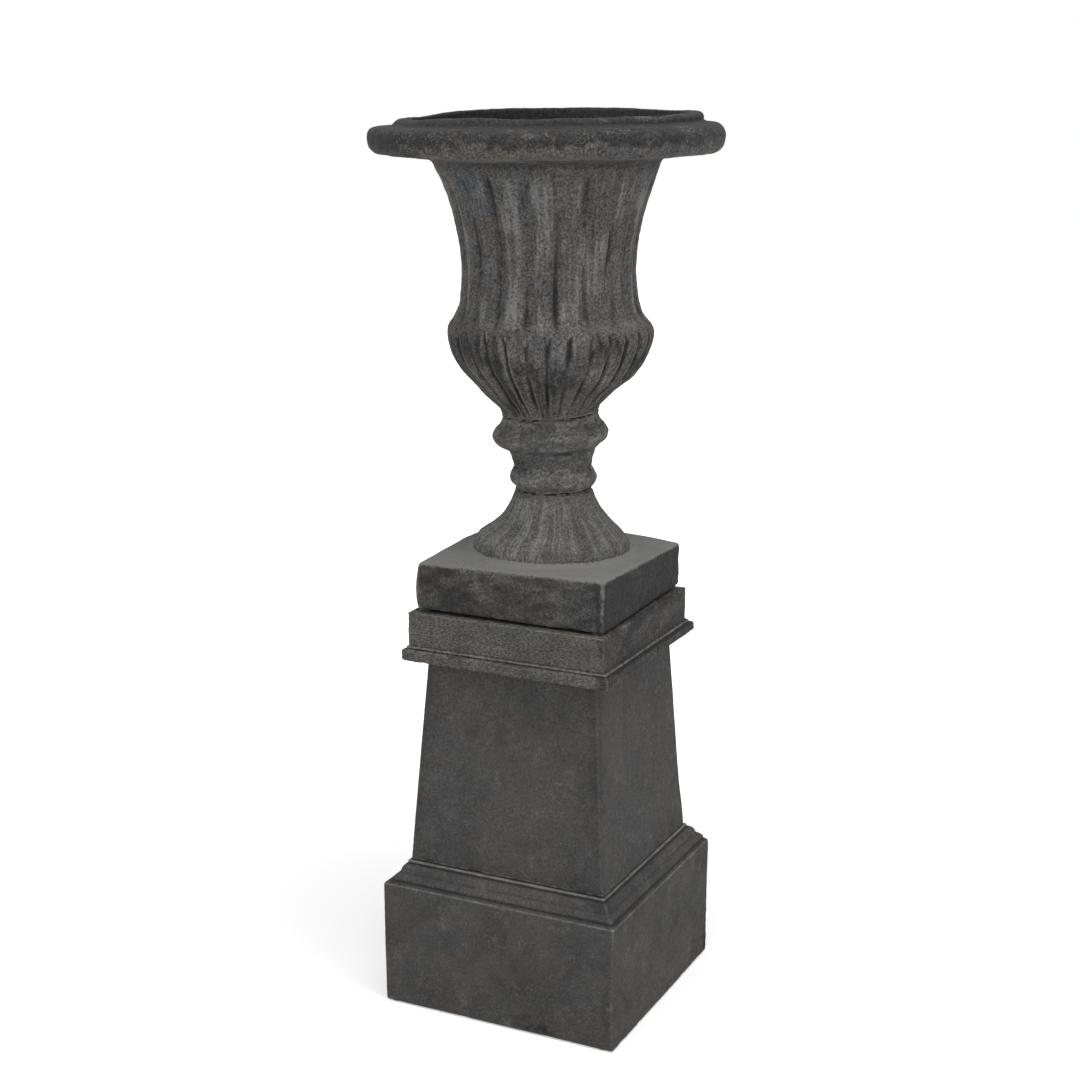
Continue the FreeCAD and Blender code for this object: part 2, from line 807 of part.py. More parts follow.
def make_plug():
    """Rubber plug with a pull tab; its head rests on the end of the tube."""
    body = new_body("drain_plug", tube_top + S["seat_gap"] - S["plug_shank"])
    pad(body, "shank", circles(centre, S["tube_bore_radius"] - S["plug_gap"]), S["plug_shank"])
    pad(body, "head", circles(centre, S["plug_head_radius"]), S["plug_head_thick"],
        S["plug_shank"])
    tab_foot = S["plug_shank"] + S["plug_head_thick"]
    pad(body, "tab", outline(rectangle(S["plug_tab_width"], S["plug_tab_thick"])),
        S["plug_tab_height"], tab_foot)
    eye = [(as_size(0), tab_foot + S["plug_tab_height"] - S["plug_tab_width"] / 2)]
    sketch = new_sketch(body, "eye_outline", "XZ_Plane")
    circles(eye, S["plug_tab_hole_radius"])(sketch)
    cut = body.newObject("PartDesign::Pocket", "drain_plug_eye")
    cut.Profile = sketch
    cut.Type = "ThroughAll"
    cut.Midplane = True
    doc.recompute()


def check_document():
    """Stop if any object failed to compute, or a piece is not the valid solids it should be."""
    doc.recompute()
    for item in doc.Objects:
        if any(word in FEATURE_ERRORS for word in item.State):
            raise RuntimeError("%s did not compute: %s" % (item.Name, item.State))
    for label, count in solids_expected.items():
        shape = doc.getObjectsByLabel(label)[0].Shape
        if shape.isNull() or not shape.isValid() or len(shape.Solids) != count:
            raise RuntimeError("%s is not %d valid solid(s)" % (label, count))


def write_parts():
    os.makedirs("parts", exist_ok=True)
    for label in solids_expected:
        shape = doc.getObjectsByLabel(label)[0].Shape
        shape.exportStep("parts/%s.step" % label)
        box = shape.BoundBox
        print("%-16s z %8.2f %8.2f  half width %7.2f  volume %12.1f"
              % (label, box.ZMin, box.ZMax, box.XMax, shape.Volume))


make_pads()
make_plinth()
make_square_bed("die_joint_bed", die_bed_level, S["die_foot_width"] / 2 - S["square_bed_setback"],
                die_foot_opening, foot_dowels)
make_dowels("die_dowels", die_bed_level, foot_dowels)
make_die()
make_square_bed("cap_joint_bed", cap_bed_level, S["die_top_width"] / 2 - S["square_bed_setback"],
                die_top_opening, top_dowels)
make_dowels("cap_dowels", cap_bed_level, top_dowels)
make_cap()
make_bumpers()
make_foot()
make_round_bed("stem_joint_bed", stem_bed_level, S["stem_waist_radius"])
make_stem()
make_round_bed("bowl_joint_bed", bowl_bed_level, S["collar_radius"])
make_bowl()
make_tube()
make_plate()
make_ring("clamp_washer", clamp_washer_level, S["washer_radius"], bore_radius, S["washer_thick"])
make_nut("clamp_nut", clamp_nut_level)
make_ring("bowl_seal", seal_level, S["seal_radius"], thread_radius, S["seal_thick"])
make_ring("bowl_washer", bowl_washer_level, S["washer_radius"], thread_radius, S["washer_thick"])
make_nut("bowl_nut", bowl_nut_level)
make_plug()
check_document()
write_parts()
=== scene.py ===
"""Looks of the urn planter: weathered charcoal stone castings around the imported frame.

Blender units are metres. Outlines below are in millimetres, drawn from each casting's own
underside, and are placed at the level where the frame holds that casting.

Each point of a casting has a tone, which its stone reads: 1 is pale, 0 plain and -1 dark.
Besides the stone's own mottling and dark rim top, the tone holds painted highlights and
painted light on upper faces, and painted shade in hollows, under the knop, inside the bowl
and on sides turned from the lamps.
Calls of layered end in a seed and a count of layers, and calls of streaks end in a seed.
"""
import math

import bpy
import numpy as np
from mathutils import Matrix, Vector


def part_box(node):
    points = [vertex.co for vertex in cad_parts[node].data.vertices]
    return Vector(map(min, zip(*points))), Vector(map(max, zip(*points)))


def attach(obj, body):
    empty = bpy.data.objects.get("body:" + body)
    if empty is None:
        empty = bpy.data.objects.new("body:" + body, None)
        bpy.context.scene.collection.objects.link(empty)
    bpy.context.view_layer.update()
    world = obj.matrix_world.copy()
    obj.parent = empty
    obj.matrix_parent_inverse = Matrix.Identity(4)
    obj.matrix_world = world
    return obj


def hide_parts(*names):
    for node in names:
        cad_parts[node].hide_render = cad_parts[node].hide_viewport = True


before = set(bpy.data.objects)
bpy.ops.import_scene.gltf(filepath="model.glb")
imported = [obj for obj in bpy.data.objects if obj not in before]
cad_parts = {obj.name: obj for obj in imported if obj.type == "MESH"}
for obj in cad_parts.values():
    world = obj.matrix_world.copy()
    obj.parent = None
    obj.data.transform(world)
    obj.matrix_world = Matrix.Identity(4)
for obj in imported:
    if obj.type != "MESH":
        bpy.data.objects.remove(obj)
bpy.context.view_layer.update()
MM = 0.001

# ---------------------------------------------------------------- what the photograph measured

LENS_MM = 64.257
SENSOR_MM = 36.0
CAMERA_PLACE = (1.10517, -2.33642, 1.28995)
CAMERA_AZIMUTH = 25.68
CAMERA_PITCH = 13.84
CAMERA_ROLL = 0.271

# Level directions towards the photograph's left side and towards its camera.
LEFT = (-math.cos(math.radians(CAMERA_AZIMUTH)), -math.sin(math.radians(CAMERA_AZIMUTH)))
NEAR = (-LEFT[1], LEFT[0])
# The urn leans a little as it rises, towards the photograph's left: height and shift in mm.
LEAN_HEIGHTS = (640, 664, 678, 688, 700, 724, 752, 770, 800, 914, 944, 971, 1000, 1130, 1190,
                1214, 1233)
LEAN_SHIFTS = (0.0, 0.4, -2.8, -3.6, -2.9, -2.4, -0.9, 0.3, 2.8, 4.1, 3.2, 5.2, 6.6, 7.6, 11.0,
               10.5, 5.5)
# The rim, the knop with the belly's foot, and the lip are each a little out of level. Each tilt
# sets in between two heights in mm, and the knop's ends again between two more.
RIM_TILT = math.radians(0.65)
RIM_FROM = (1090, 1180)
KNOP_TILT = math.radians(2.9)
KNOP_FROM = (774, 790)
KNOP_TO = (857, 884)
LIP_TILT = math.radians(0.63)
LIP_FROM = (1208, 1228)
# The lip also dips at its left end, in mm, and the urn's block is turned, in degrees.
LIP_DIP = 6.5
BLOCK_TWIST = 0.7

# Distances from the object's axis, in m, where the floor starts to glow and where it glows
# fully, and its glow before the first of them.
FLOOR_GLOW_FROM = 0.45
FLOOR_GLOW_TO = 1.6
FLOOR_GLOW_NEAR = 0.4

# Grooves round the urn, and the angle of one of each kind in degrees.
FLUTES = 20
GADROONS = 30
TRUMPET_FLUTES = 24
FLUTE_PHASE = 11.7
GADROON_PHASE = 5.7
TRUMPET_PHASE = 4.0

# Radius of the hole through the urn's castings, in mm.
BORE = 14
# Mesh of the squared castings: spacing along a side and rounding of the arrises, in mm, and
# points round an arris.
SIDE_SPACING = 2.1
ARRIS_RADIUS = 2.6
ARRIS_POINTS = 8
# Spacing of the points of an outline while it is softened, in mm.
SOFTEN_STEP = 0.4
# How many points of a grid away a crest is looked for: fine, at an edge, and broad.
FINE_REACH = 2
EDGE_REACH = 3
BROAD_REACH = 7
# Sockets of a colour Mix node.
MIX_SHARE = 0
MIX_FIRST = 6
MIX_SECOND = 7
MIX_RESULT = 2


# ---------------------------------------------------------------- noise on arrays of points

def lattice_values(cell, seed):
    """Repeatable value from -1 to 1 for each whole-numbered lattice point."""
    mixed = (cell[..., 0].astype(np.uint32) * np.uint32(374761393)
             + cell[..., 1].astype(np.uint32) * np.uint32(668265263)
             + cell[..., 2].astype(np.uint32) * np.uint32(2246822519)
             + np.uint32(seed * 3266489917 & 0xFFFFFFFF))
    mixed = (mixed ^ (mixed >> np.uint32(13))) * np.uint32(1274126177)
    mixed = (mixed ^ (mixed >> np.uint32(16))) * np.uint32(2654435761)
    mixed = mixed ^ (mixed >> np.uint32(15))
    return mixed.astype(np.float64) / 2147483647.5 - 1.0


def noise(points, size, seed):
    """Smooth noise from -1 to 1 whose bumps are size apart."""
    scaled = np.asarray(points, float) / size
    base = np.floor(scaled)
    part = scaled - base
    ease = part * part * part * (part * (part * 6 - 15) + 10)
    base = base.astype(np.int64)
    total = 0.0
    for corner in range(8):
        step = np.array([corner & 1, corner >> 1 & 1, corner >> 2 & 1])
        weight = np.where(step == 1, ease, 1 - ease).prod(axis=-1)
        total = total + weight * lattice_values(base + step, seed)
    return total


def layered(points, size, seed, layers=3):
    """Noise of several sizes, each half the one before."""
    total = 0.0
    for layer in range(layers):
        total = total + noise(points, size / 2 ** layer, seed + 17 * layer) / 2 ** layer
    return total / 1.5


def streaks(angle, height, width, length, seed):
    """Noise round an upright casting, width across and length tall in mm."""
    drawn_at_radius = 120
    turn = drawn_at_radius / width
    points = np.stack([np.cos(angle) * turn, np.sin(angle) * turn,
                       height / length + 0 * angle], axis=-1)
    return noise(points, 1.0, seed)


def ramp(values, low, high):
    """0 below low, 1 above high and smooth between."""
    share = np.clip((values - low) / (high - low), 0, 1)
    return share * share * (3 - 2 * share)


def fade(values, low, high):
    """1 below low, 0 above high and smooth between."""
    return ramp(-values, -high, -low)


def band(height, middle, reach):
    """1 at a height and 0 past reach mm above or below it."""
    return fade(np.abs(height - middle), 0, reach)


# ---------------------------------------------------------------- outlines

def trace(points, step):
    """Evenly spaced points along an outline: (x, y) ends a line, (via x, via y, x, y) an arc."""
    path = [np.array(points[0][-2:], float)]
    for stop in points[1:]:
        first = path[-1]
        last = np.array(stop[-2:], float)
        if len(stop) == 2:
            count = max(1, int(round(np.linalg.norm(last - first) / step)))
            path += [first + (last - first) * i / count for i in range(1, count + 1)]
        else:
            path += arc_points(first, np.array(stop[:2], float), last, step)
    return np.array(path)


def arc_points(first, via, last, step):
    """Points after first along the circle through three points."""
    a, b = via - first, last - first
    spread = 2 * (a[0] * b[1] - a[1] * b[0])
    centre = first + np.array([b[1] * (a @ a) - a[1] * (b @ b),
                               a[0] * (b @ b) - b[0] * (a @ a)]) / spread
    radius = np.linalg.norm(first - centre)
    angles = [math.atan2(*(p - centre)[::-1]) for p in (first, via, last)]
    turn = 1 if spread > 0 else -1
    sweep = (angles[2] - angles[0]) * turn % (2 * math.pi)
    count = max(2, int(round(radius * sweep / step)))
    steps = angles[0] + turn * sweep * np.arange(1, count + 1) / count
    return list(centre + radius * np.stack([np.cos(steps), np.sin(steps)], axis=1))


def soften(path, reach):
    """Round the corners of an open outline over about reach, leaving its two ends in place."""
    fine = resample(path, SOFTEN_STEP)
    width = int(3 * reach / SOFTEN_STEP)
    kernel = np.exp(-0.5 * (np.arange(-width, width + 1) * SOFTEN_STEP / reach) ** 2)
    kernel /= kernel.sum()
    before = 2 * fine[0] - fine[width:0:-1]
    after = 2 * fine[-1] - fine[-2:-width - 2:-1]
    padded = np.concatenate([before, fine, after])
    return np.stack([np.convolve(padded[:, k], kernel, "valid") for k in (0, 1)], axis=1)


def resample(path, step):
    """The same path with its points about step apart."""
    gaps = np.linalg.norm(np.diff(path, axis=0), axis=1)
    along = np.concatenate([[0], np.cumsum(gaps)])
    count = max(2, int(round(along[-1] / step)) + 1)
    places = np.linspace(0, along[-1], count)
    return np.stack([np.interp(places, along, path[:, k]) for k in (0, 1)], axis=1)


def section(skin, core, wear, skin_step, core_step):
    """Closed outline of a softened, closely spaced skin and a plain, widely spaced core.

    Also returns the number of its points that are skin.
    """
    outer = resample(soften(trace(skin, 1.0), wear), skin_step)
    inner = resample(trace(core, 1.0), core_step)
    return np.concatenate([outer, inner[1:-1]]), len(outer)


# ---------------------------------------------------------------- grids of points to meshes

def grid_normals(grid):
    """Outward normals of a grid closed both ways (rows along the outline, columns round)."""
    down = np.roll(grid, -1, axis=0) - np.roll(grid, 1, axis=0)
    around = np.roll(grid, -1, axis=1) - np.roll(grid, 1, axis=1)
    normal = np.cross(around, down)
    return normal / np.maximum(np.linalg.norm(normal, axis=2, keepdims=True), 1e-12)


def crest(grid, normals, reach):
    """How far each point stands proud of its surroundings, positive on edges and ridges."""
    around = sum(np.roll(grid, (i * reach, j * reach), axis=(0, 1))
                 for i, j in ((1, 0), (-1, 0), (0, 1), (0, -1))) / 4
    return ((grid - around) * normals).sum(axis=2)


def grid_mesh(name, grid, tone):
    """Closed mesh of a grid that joins up both ways, with its crests and tone as attributes."""
    rows, columns = grid.shape[:2]
    normals = grid_normals(grid)
    index = np.arange(rows * columns).reshape(rows, columns)
    right = np.roll(index, -1, axis=1)
    below = np.roll(index, -1, axis=0)
    corner = np.roll(right, -1, axis=0)
    faces = np.stack([index, right, corner, below], axis=2).reshape(-1, 4)
    mesh = bpy.data.meshes.new(name)
    mesh.vertices.add(rows * columns)
    mesh.vertices.foreach_set("co", grid.astype(np.float32).ravel())
    mesh.loops.add(faces.size)
    mesh.loops.foreach_set("vertex_index", faces.astype(np.int32).ravel())
    mesh.polygons.add(len(faces))
    mesh.polygons.foreach_set("loop_start", np.arange(0, faces.size, 4, dtype=np.int32))
    mesh.polygons.foreach_set("use_smooth", np.ones(len(faces), bool))
    mesh.update(calc_edges=True)
    mesh.validate()
    layers = {"crest_fine": crest(grid, normals, FINE_REACH) / MM,
              "crest_broad": crest(grid, normals, BROAD_REACH) / MM,
              "tone": tone}
    for label, values in layers.items():
        layer = mesh.attributes.new(label, "FLOAT", "POINT")
        layer.data.foreach_set("value", values.astype(np.float32).ravel())
    piece = bpy.data.objects.new(name, mesh)
    bpy.context.scene.collection.objects.link(piece)
    return piece


def turned(outline, columns):
    """Grid of an outline (radius, height) turned about the upright axis, in metres."""
    angle = 2 * math.pi * np.arange(columns) / columns
    radius = outline[:, 0, None] * MM
    grid = np.empty((len(outline), columns, 3))
    grid[:, :, 0] = radius * np.cos(angle)
    grid[:, :, 1] = radius * np.sin(angle)
    grid[:, :, 2] = outline[:, 1, None] * MM
    return grid, np.broadcast_to(angle, grid.shape[:2])


def squared(outline):
    """Grid of an outline (half width, height) carried round a square with rounded corners.

    Rows nearer than 30 mm to the centre are round, for a drain hole.
    """
    round_within, square_beyond = 30, 60
    side_points = int(round(2 * outline[:, 0].max() / SIDE_SPACING))
    half = outline[:, 0, None]
    radius = np.minimum(ARRIS_RADIUS, half * 0.5)
    run = half - radius
    share = np.linspace(-1, 1, side_points, endpoint=False)[None, :]
    turn = np.linspace(0, math.pi / 2, ARRIS_POINTS, endpoint=False)[None, :]
    side = np.concatenate([
        np.stack([half + 0 * share, run * share], axis=2),
        np.stack([run + radius * np.cos(turn), run + radius * np.sin(turn)], axis=2),
    ], axis=1)
    quarter = np.array([[0, 1], [-1, 0]])
    sides = []
    for _ in range(4):
        sides.append(side)
        side = side @ quarter
    plan = np.concatenate(sides, axis=1)
    distance = np.linalg.norm(plan, axis=2, keepdims=True)
    roundness = fade(half, round_within, square_beyond)[:, :, None]
    plan = plan * (1 + roundness * (half[:, :, None] / distance - 1))
    grid = np.empty(plan.shape[:2] + (3,))
    grid[:, :, :2] = plan * MM
    grid[:, :, 2] = outline[:, 1, None] * MM
    return grid


def on_arris(grid, outline):
    """1 along the upright corners of a squared casting, 0 from 3.6 mm away."""
    nearer = np.minimum(np.abs(grid[:, :, 0]), np.abs(grid[:, :, 1])) / MM
    return ramp(nearer - outline[:, 0, None], -3.6, -1.2)


def square_reach(angle, half, corner):
    """Distance from the centre to the side of a rounded square, at an angle."""
    folded = np.abs((angle + math.pi / 4) % (math.pi / 2) - math.pi / 4)
    along = np.cos(folded)
    across = np.sin(folded)
    inner = half - corner
    straight = half / along
    reach = inner * (along + across)
    bent = reach + np.sqrt(np.maximum(reach ** 2 - 2 * inner ** 2 + corner ** 2, 0))
    return np.where(half * across / along <= inner, straight, bent)


def stand(grid, node):
    """Raise a grid drawn from zero to the level where the frame holds its node."""
    grid[:, :, 2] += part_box(node)[0].z
    return grid


def leaned(grid):
    """Shift the urn sideways with height and tilt its knop, rim and lip, as in the photograph."""
    height = grid[:, :, 2] / MM
    shift = np.interp(height, LEAN_HEIGHTS, LEAN_SHIFTS) * MM
    left = grid[:, :, 0] * LEFT[0] + grid[:, :, 1] * LEFT[1]
    near = grid[:, :, 0] * NEAR[0] + grid[:, :, 1] * NEAR[1]
    radius = np.hypot(grid[:, :, 0], grid[:, :, 1]) / MM
    knop = ramp(height, *KNOP_FROM) * fade(height, *KNOP_TO) * ramp(radius, 44, 60)
    lip = ramp(height, *LIP_FROM)
    drop = left * (math.sin(RIM_TILT) * ramp(height, *RIM_FROM) + math.sin(KNOP_TILT) * knop)
    drop += lip * (near * math.sin(LIP_TILT) + LIP_DIP * MM * ramp(left / MM, 95, 195))
    grid[:, :, 2] -= drop
    grid[:, :, 0] += shift * LEFT[0]
    grid[:, :, 1] += shift * LEFT[1]
    return grid


def weathered(grid, skin_rows, seed, swell, grit, pits, chips=0.0, rough=1.0):
    """Cast-stone surface: slow swells, grit and pits where it is rough, chips out of the edges.

    Swell, grit, pits and chips are depths in mm. The seeds used are seed to seed + 6 and, for
    the smaller bumps, 17 and 34 more.
    """
    normals = grid_normals(grid)
    proud = crest(grid, normals, EDGE_REACH) / MM
    move = swell * layered(grid, 0.055, seed, 2)
    uneven = grit * layered(grid, 0.011, seed + 1, 3)
    uneven += grit * 0.8 * noise(grid, 0.0045, seed + 2)
    holes = ramp(noise(grid, 0.0075, seed + 3), 0.5, 0.85)
    patches = ramp(layered(grid, 0.07, seed + 4, 2), -0.15, 0.5)
    uneven -= pits * holes * (0.2 + 0.8 * patches)
    move += uneven * rough
    if chips:
        nicks = ramp(layered(grid, 0.016, seed + 5, 2), 0.12, 0.6)
        move -= chips * nicks * ramp(proud, 0.12, 0.6)
        move -= 0.35 * chips * ramp(proud, 0.1, 0.5) * (0.5 + 0.5 * noise(grid, 0.006, seed + 6))
    keep = np.zeros(grid.shape[0])
    keep[:skin_rows] = 1.0
    return grid + normals * (move * keep[:, None])[:, :, None] * MM


def casting(name, grid, node, body, material, tone):
    """Mesh of a casting, which replaces the frame's node and rides on its body."""
    piece = grid_mesh(name, grid, tone)
    piece.data.materials.append(material)
    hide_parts(node)
    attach(piece, body)
    return piece


# ---------------------------------------------------------------- materials

def new_material(name):
    """Material with its node tree and its shader."""
    material = bpy.data.materials.new(name)
    material.use_nodes = True
    tree = material.node_tree
    shader = tree.nodes["Principled BSDF"]
    return material, tree, shader


def add_node(tree, kind, **values):
    """Node with its properties and its input sockets set by name."""
    node = tree.nodes.new(kind)
    for key, value in values.items():
        if hasattr(node, key):
            setattr(node, key, value)
        else:
            node.inputs[key.replace("_", " ")].default_value = value
    return node


def colour(red, green, blue):
    """Linear colour from the usual 0 to 255 values."""
    def linear(value):
        value /= 255
        return value / 12.92 if value <= 0.04045 else ((value + 0.055) / 1.055) ** 2.4
    return (linear(red), linear(green), linear(blue), 1.0)


def mapped_noise(tree, place, scale, stretch=(1, 1, 1), detail=3.0, rough=0.6):
    """Socket of a noise texture with about scale bumps to the metre."""
    mapping = add_node(tree, "ShaderNodeMapping")
    mapping.inputs["Scale"].default_value = stretch
    tree.links.new(place, mapping.inputs["Vector"])
    texture = add_node(tree, "ShaderNodeTexNoise", Scale=scale, Detail=detail, Roughness=rough)
    tree.links.new(mapping.outputs["Vector"], texture.inputs["Vector"])
    return texture.outputs["Fac"]


def stepped(tree, value, low, high, top=1.0, bottom=0.0):
    """Smoothly map a socket from low..high to bottom..top."""
    node = add_node(tree, "ShaderNodeMapRange", interpolation_type="SMOOTHSTEP")
    node.inputs["From Min"].default_value = low
    node.inputs["From Max"].default_value = high
    node.inputs["To Min"].default_value = bottom
    node.inputs["To Max"].default_value = top
    tree.links.new(value, node.inputs["Value"])
    return node.outputs["Result"]


def feed(tree, value, socket):
    """Link another socket to a socket, or set it to a constant."""
    if isinstance(value, bpy.types.NodeSocket):
        tree.links.new(value, socket)
    else:
        socket.default_value = value


def blended(tree, share, first, second, mode="MIX"):
    """Mix of two colours with a share of the second one."""
    node = add_node(tree, "ShaderNodeMix", data_type="RGBA", blend_type=mode)
    feed(tree, share, node.inputs[MIX_SHARE])
    feed(tree, first, node.inputs[MIX_FIRST])
    feed(tree, second, node.inputs[MIX_SECOND])
    return node.outputs[MIX_RESULT]


def times(tree, first, second):
    """Product of two sockets."""
    node = add_node(tree, "ShaderNodeMath", operation="MULTIPLY")
    feed(tree, first, node.inputs[0])
    feed(tree, second, node.inputs[1])
    return node.outputs[0]


def attribute(tree, name):
    """Socket of a value that the mesh keeps for each of its points."""
    return add_node(tree, "ShaderNodeAttribute", attribute_name=name).outputs["Fac"]


def set_roughness(tree, shader, value, low, high):
    """Roughness from low to high as a socket goes from 0 to 1."""
    spread = add_node(tree, "ShaderNodeMapRange")
    spread.inputs["To Min"].default_value = low
    spread.inputs["To Max"].default_value = high
    tree.links.new(value, spread.inputs["Value"])
    tree.links.new(spread.outputs["Result"], shader.inputs["Roughness"])


def bumped(tree, height, strength, distance):
    """Bump node fed with a height socket."""
    node = add_node(tree, "ShaderNodeBump", Strength=strength, Distance=distance)
    tree.links.new(height, node.inputs["Height"])
    return node


def stone_colour(tree, place, brown, blue, grain, contrast, lichen, stretch):
    """Colour of the stone: clouds, the mesh's tone, grit, worn edges partly standing in for
    highlights, and painted shade in hollows.
    """
    fine = attribute(tree, "crest_fine")
    broad = attribute(tree, "crest_broad")
    tone = attribute(tree, "tone")
    off_darkest_tone = stepped(tree, tone, -0.98, -0.4)
    off_palest_tone = stepped(tree, tone, 1.0, 0.6)
    below_pale_tone = stepped(tree, tone, 0.62, 0.42)

    clouds = stepped(tree, mapped_noise(tree, place, 9, detail=7, rough=0.72), 0.42, 0.6)
    base = blended(tree, clouds, brown, blue)
    stains = stepped(tree, mapped_noise(tree, place, 19, (1, 1, 0.7), 9, 0.76), 0.5, 0.68, 0.42)
    base = blended(tree, stains, base, DARK)
    # The mesh's tone: the pale colour for painted highlights and painted light from above, the
    # darkest for the stone's dark rim top and for painted shade.
    base = blended(tree, stepped(tree, tone, 0.0, 1.0, 0.9), base, PALE)
    base = blended(tree, stepped(tree, tone, 0.0, -1.0, 0.9), base, DARK_TONE_AND_SHADE)

    rubs = stepped(tree, mapped_noise(tree, place, 33, stretch, 9, 0.8), 0.52, 0.7, 0.32)
    base = blended(tree, times(tree, rubs, off_darkest_tone), base, WORN_AND_HIGHLIGHT)
    gritty = stepped(tree, mapped_noise(tree, place, 17, detail=4), 0.35, 0.6)
    gritty = times(tree, gritty, times(tree, off_palest_tone, off_darkest_tone))
    pale = stepped(tree, mapped_noise(tree, place, 300, stretch, 5, 0.8), 0.49, 0.68, grain)
    base = blended(tree, times(tree, pale, gritty), base, WORN_AND_HIGHLIGHT)
    grains = mapped_noise(tree, place, 330, stretch, 5, 0.8)
    depth = stepped(tree, grains, 0.36, 0.64, 1 + 1.15 * contrast, 1 - contrast)
    grained = blended(tree, 1.0, base, depth, "MULTIPLY")
    base = blended(tree, off_palest_tone, base, grained)

    if lichen:
        clusters = stepped(tree, mapped_noise(tree, place, 24, detail=6, rough=0.7), 0.46, 0.6)
        clusters = times(tree, clusters, stepped(tree, tone, -1.0, -0.9))
        points = mapped_noise(tree, place, 430, detail=4, rough=0.7)
        points = stepped(tree, points, 0.54, 0.66, lichen)
        base = blended(tree, times(tree, points, clusters), base, LICHEN)

    # Pale worn edges on the crests, which also stand in for highlights along arrises and beads.
    patches = stepped(tree, mapped_noise(tree, place, 90, detail=5, rough=0.7), 0.3, 0.6)
    edges = times(tree, stepped(tree, fine, 0.38, 0.9, 0.85), patches)
    base = blended(tree, times(tree, edges, off_darkest_tone), base, WORN_AND_HIGHLIGHT)
    # Painted shade in the wide and the narrow hollows, kept off the palest tone.
    wide_hollow_shade = times(tree, stepped(tree, broad, -0.5, -2.6, 0.5), below_pale_tone)
    base = blended(tree, wide_hollow_shade, base, DARK)
    fine_hollow_shade = times(tree, stepped(tree, fine, -0.12, -0.55, 0.7), below_pale_tone)
    return blended(tree, fine_hollow_shade, base, DARK)


def stone(name, brown, blue, grain, contrast, lichen=0.0, stretch=(1, 1, 1), offset=0.0):
    """Weathered charcoal cast stone: brown and blue-grey clouds, painted shade in hollows, pale worn
    edges partly standing in for highlights.
    """
    material, tree, shader = new_material(name)
    place = add_node(tree, "ShaderNodeTexCoord").outputs["Object"]
    if offset:
        moved = add_node(tree, "ShaderNodeMapping")
        moved.inputs["Location"].default_value = (offset, offset * 0.7, offset * 1.3)
        tree.links.new(place, moved.inputs["Vector"])
        place = moved.outputs["Vector"]
    base = stone_colour(tree, place, brown, blue, grain, contrast, lichen, stretch)
    tree.links.new(base, shader.inputs["Base Color"])
    shader.inputs["Specular IOR Level"].default_value = 0.22
    rough = stepped(tree, mapped_noise(tree, place, 140, detail=3), 0.3, 0.7)
    set_roughness(tree, shader, rough, 0.8, 0.98)
    coarse = bumped(tree, mapped_noise(tree, place, 260, detail=6, rough=0.75), 0.5, 0.001)
    grit = bumped(tree, mapped_noise(tree, place, 900, detail=3), 0.4, 0.0005)
    tree.links.new(coarse.outputs["Normal"], grit.inputs["Normal"])
    tree.links.new(grit.outputs["Normal"], shader.inputs["Normal"])
    return material


def plain_finish(name, tone, spot, roughness, metallic=0.0, scale=300):
    """Steel, rubber or mortar: a tone broken by a second one, with a fine grain."""
    material, tree, shader = new_material(name)
    place = add_node(tree, "ShaderNodeTexCoord").outputs["Object"]
    cloud = stepped(tree, mapped_noise(tree, place, scale / 6, detail=4), 0.35, 0.7)
    tree.links.new(blended(tree, cloud, tone, spot), shader.inputs["Base Color"])
    shader.inputs["Metallic"].default_value = metallic
    set_roughness(tree, shader, cloud, roughness - 0.1, roughness + 0.1)
    bump = bumped(tree, mapped_noise(tree, place, scale), 0.3, 0.0004)
    tree.links.new(bump.outputs["Normal"], shader.inputs["Normal"])
    return material


# DARK serves stains and painted shade in hollows; the darkest and the pale colour follow the mesh's
# tone, so they carry painted shade and painted highlights besides the stone's own dark and pale
# patches.
DARK = colour(44, 43, 43)
DARK_TONE_AND_SHADE = colour(36, 36, 37)
WORN_AND_HIGHLIGHT = colour(123, 119, 114)
LICHEN = colour(142, 139, 132)
PALE = colour(121, 121, 119)
URN_STONE = stone("urn_stone", colour(84, 80, 76), colour(74, 76, 79), grain=0.55, contrast=0.6,
                  lichen=0.75)
FOOT_STONE = stone("foot_stone", colour(85, 82, 77), colour(76, 78, 78), grain=0.42, contrast=0.5,
                   offset=3.1)
PEDESTAL_STONE = stone("pedestal_stone", colour(75, 71, 68), colour(67, 68, 68), grain=0.3,
                       contrast=0.26, offset=7.7)
CAP_STONE = stone("cap_stone", colour(84, 78, 73), colour(71, 72, 72), grain=0.6, contrast=0.6,
                  lichen=0.3, stretch=(0.7, 0.7, 1.5), offset=5.2)
MORTAR = plain_finish("mortar", colour(52, 48, 45), colour(38, 36, 34), roughness=0.9)
STEEL = plain_finish("steel", colour(176, 176, 174), colour(150, 148, 144), roughness=0.38,
                     metallic=1.0, scale=900)
RUBBER = plain_finish("rubber", colour(34, 34, 34), colour(44, 44, 43), roughness=0.8)


# ---------------------------------------------------------------- pedestal castings

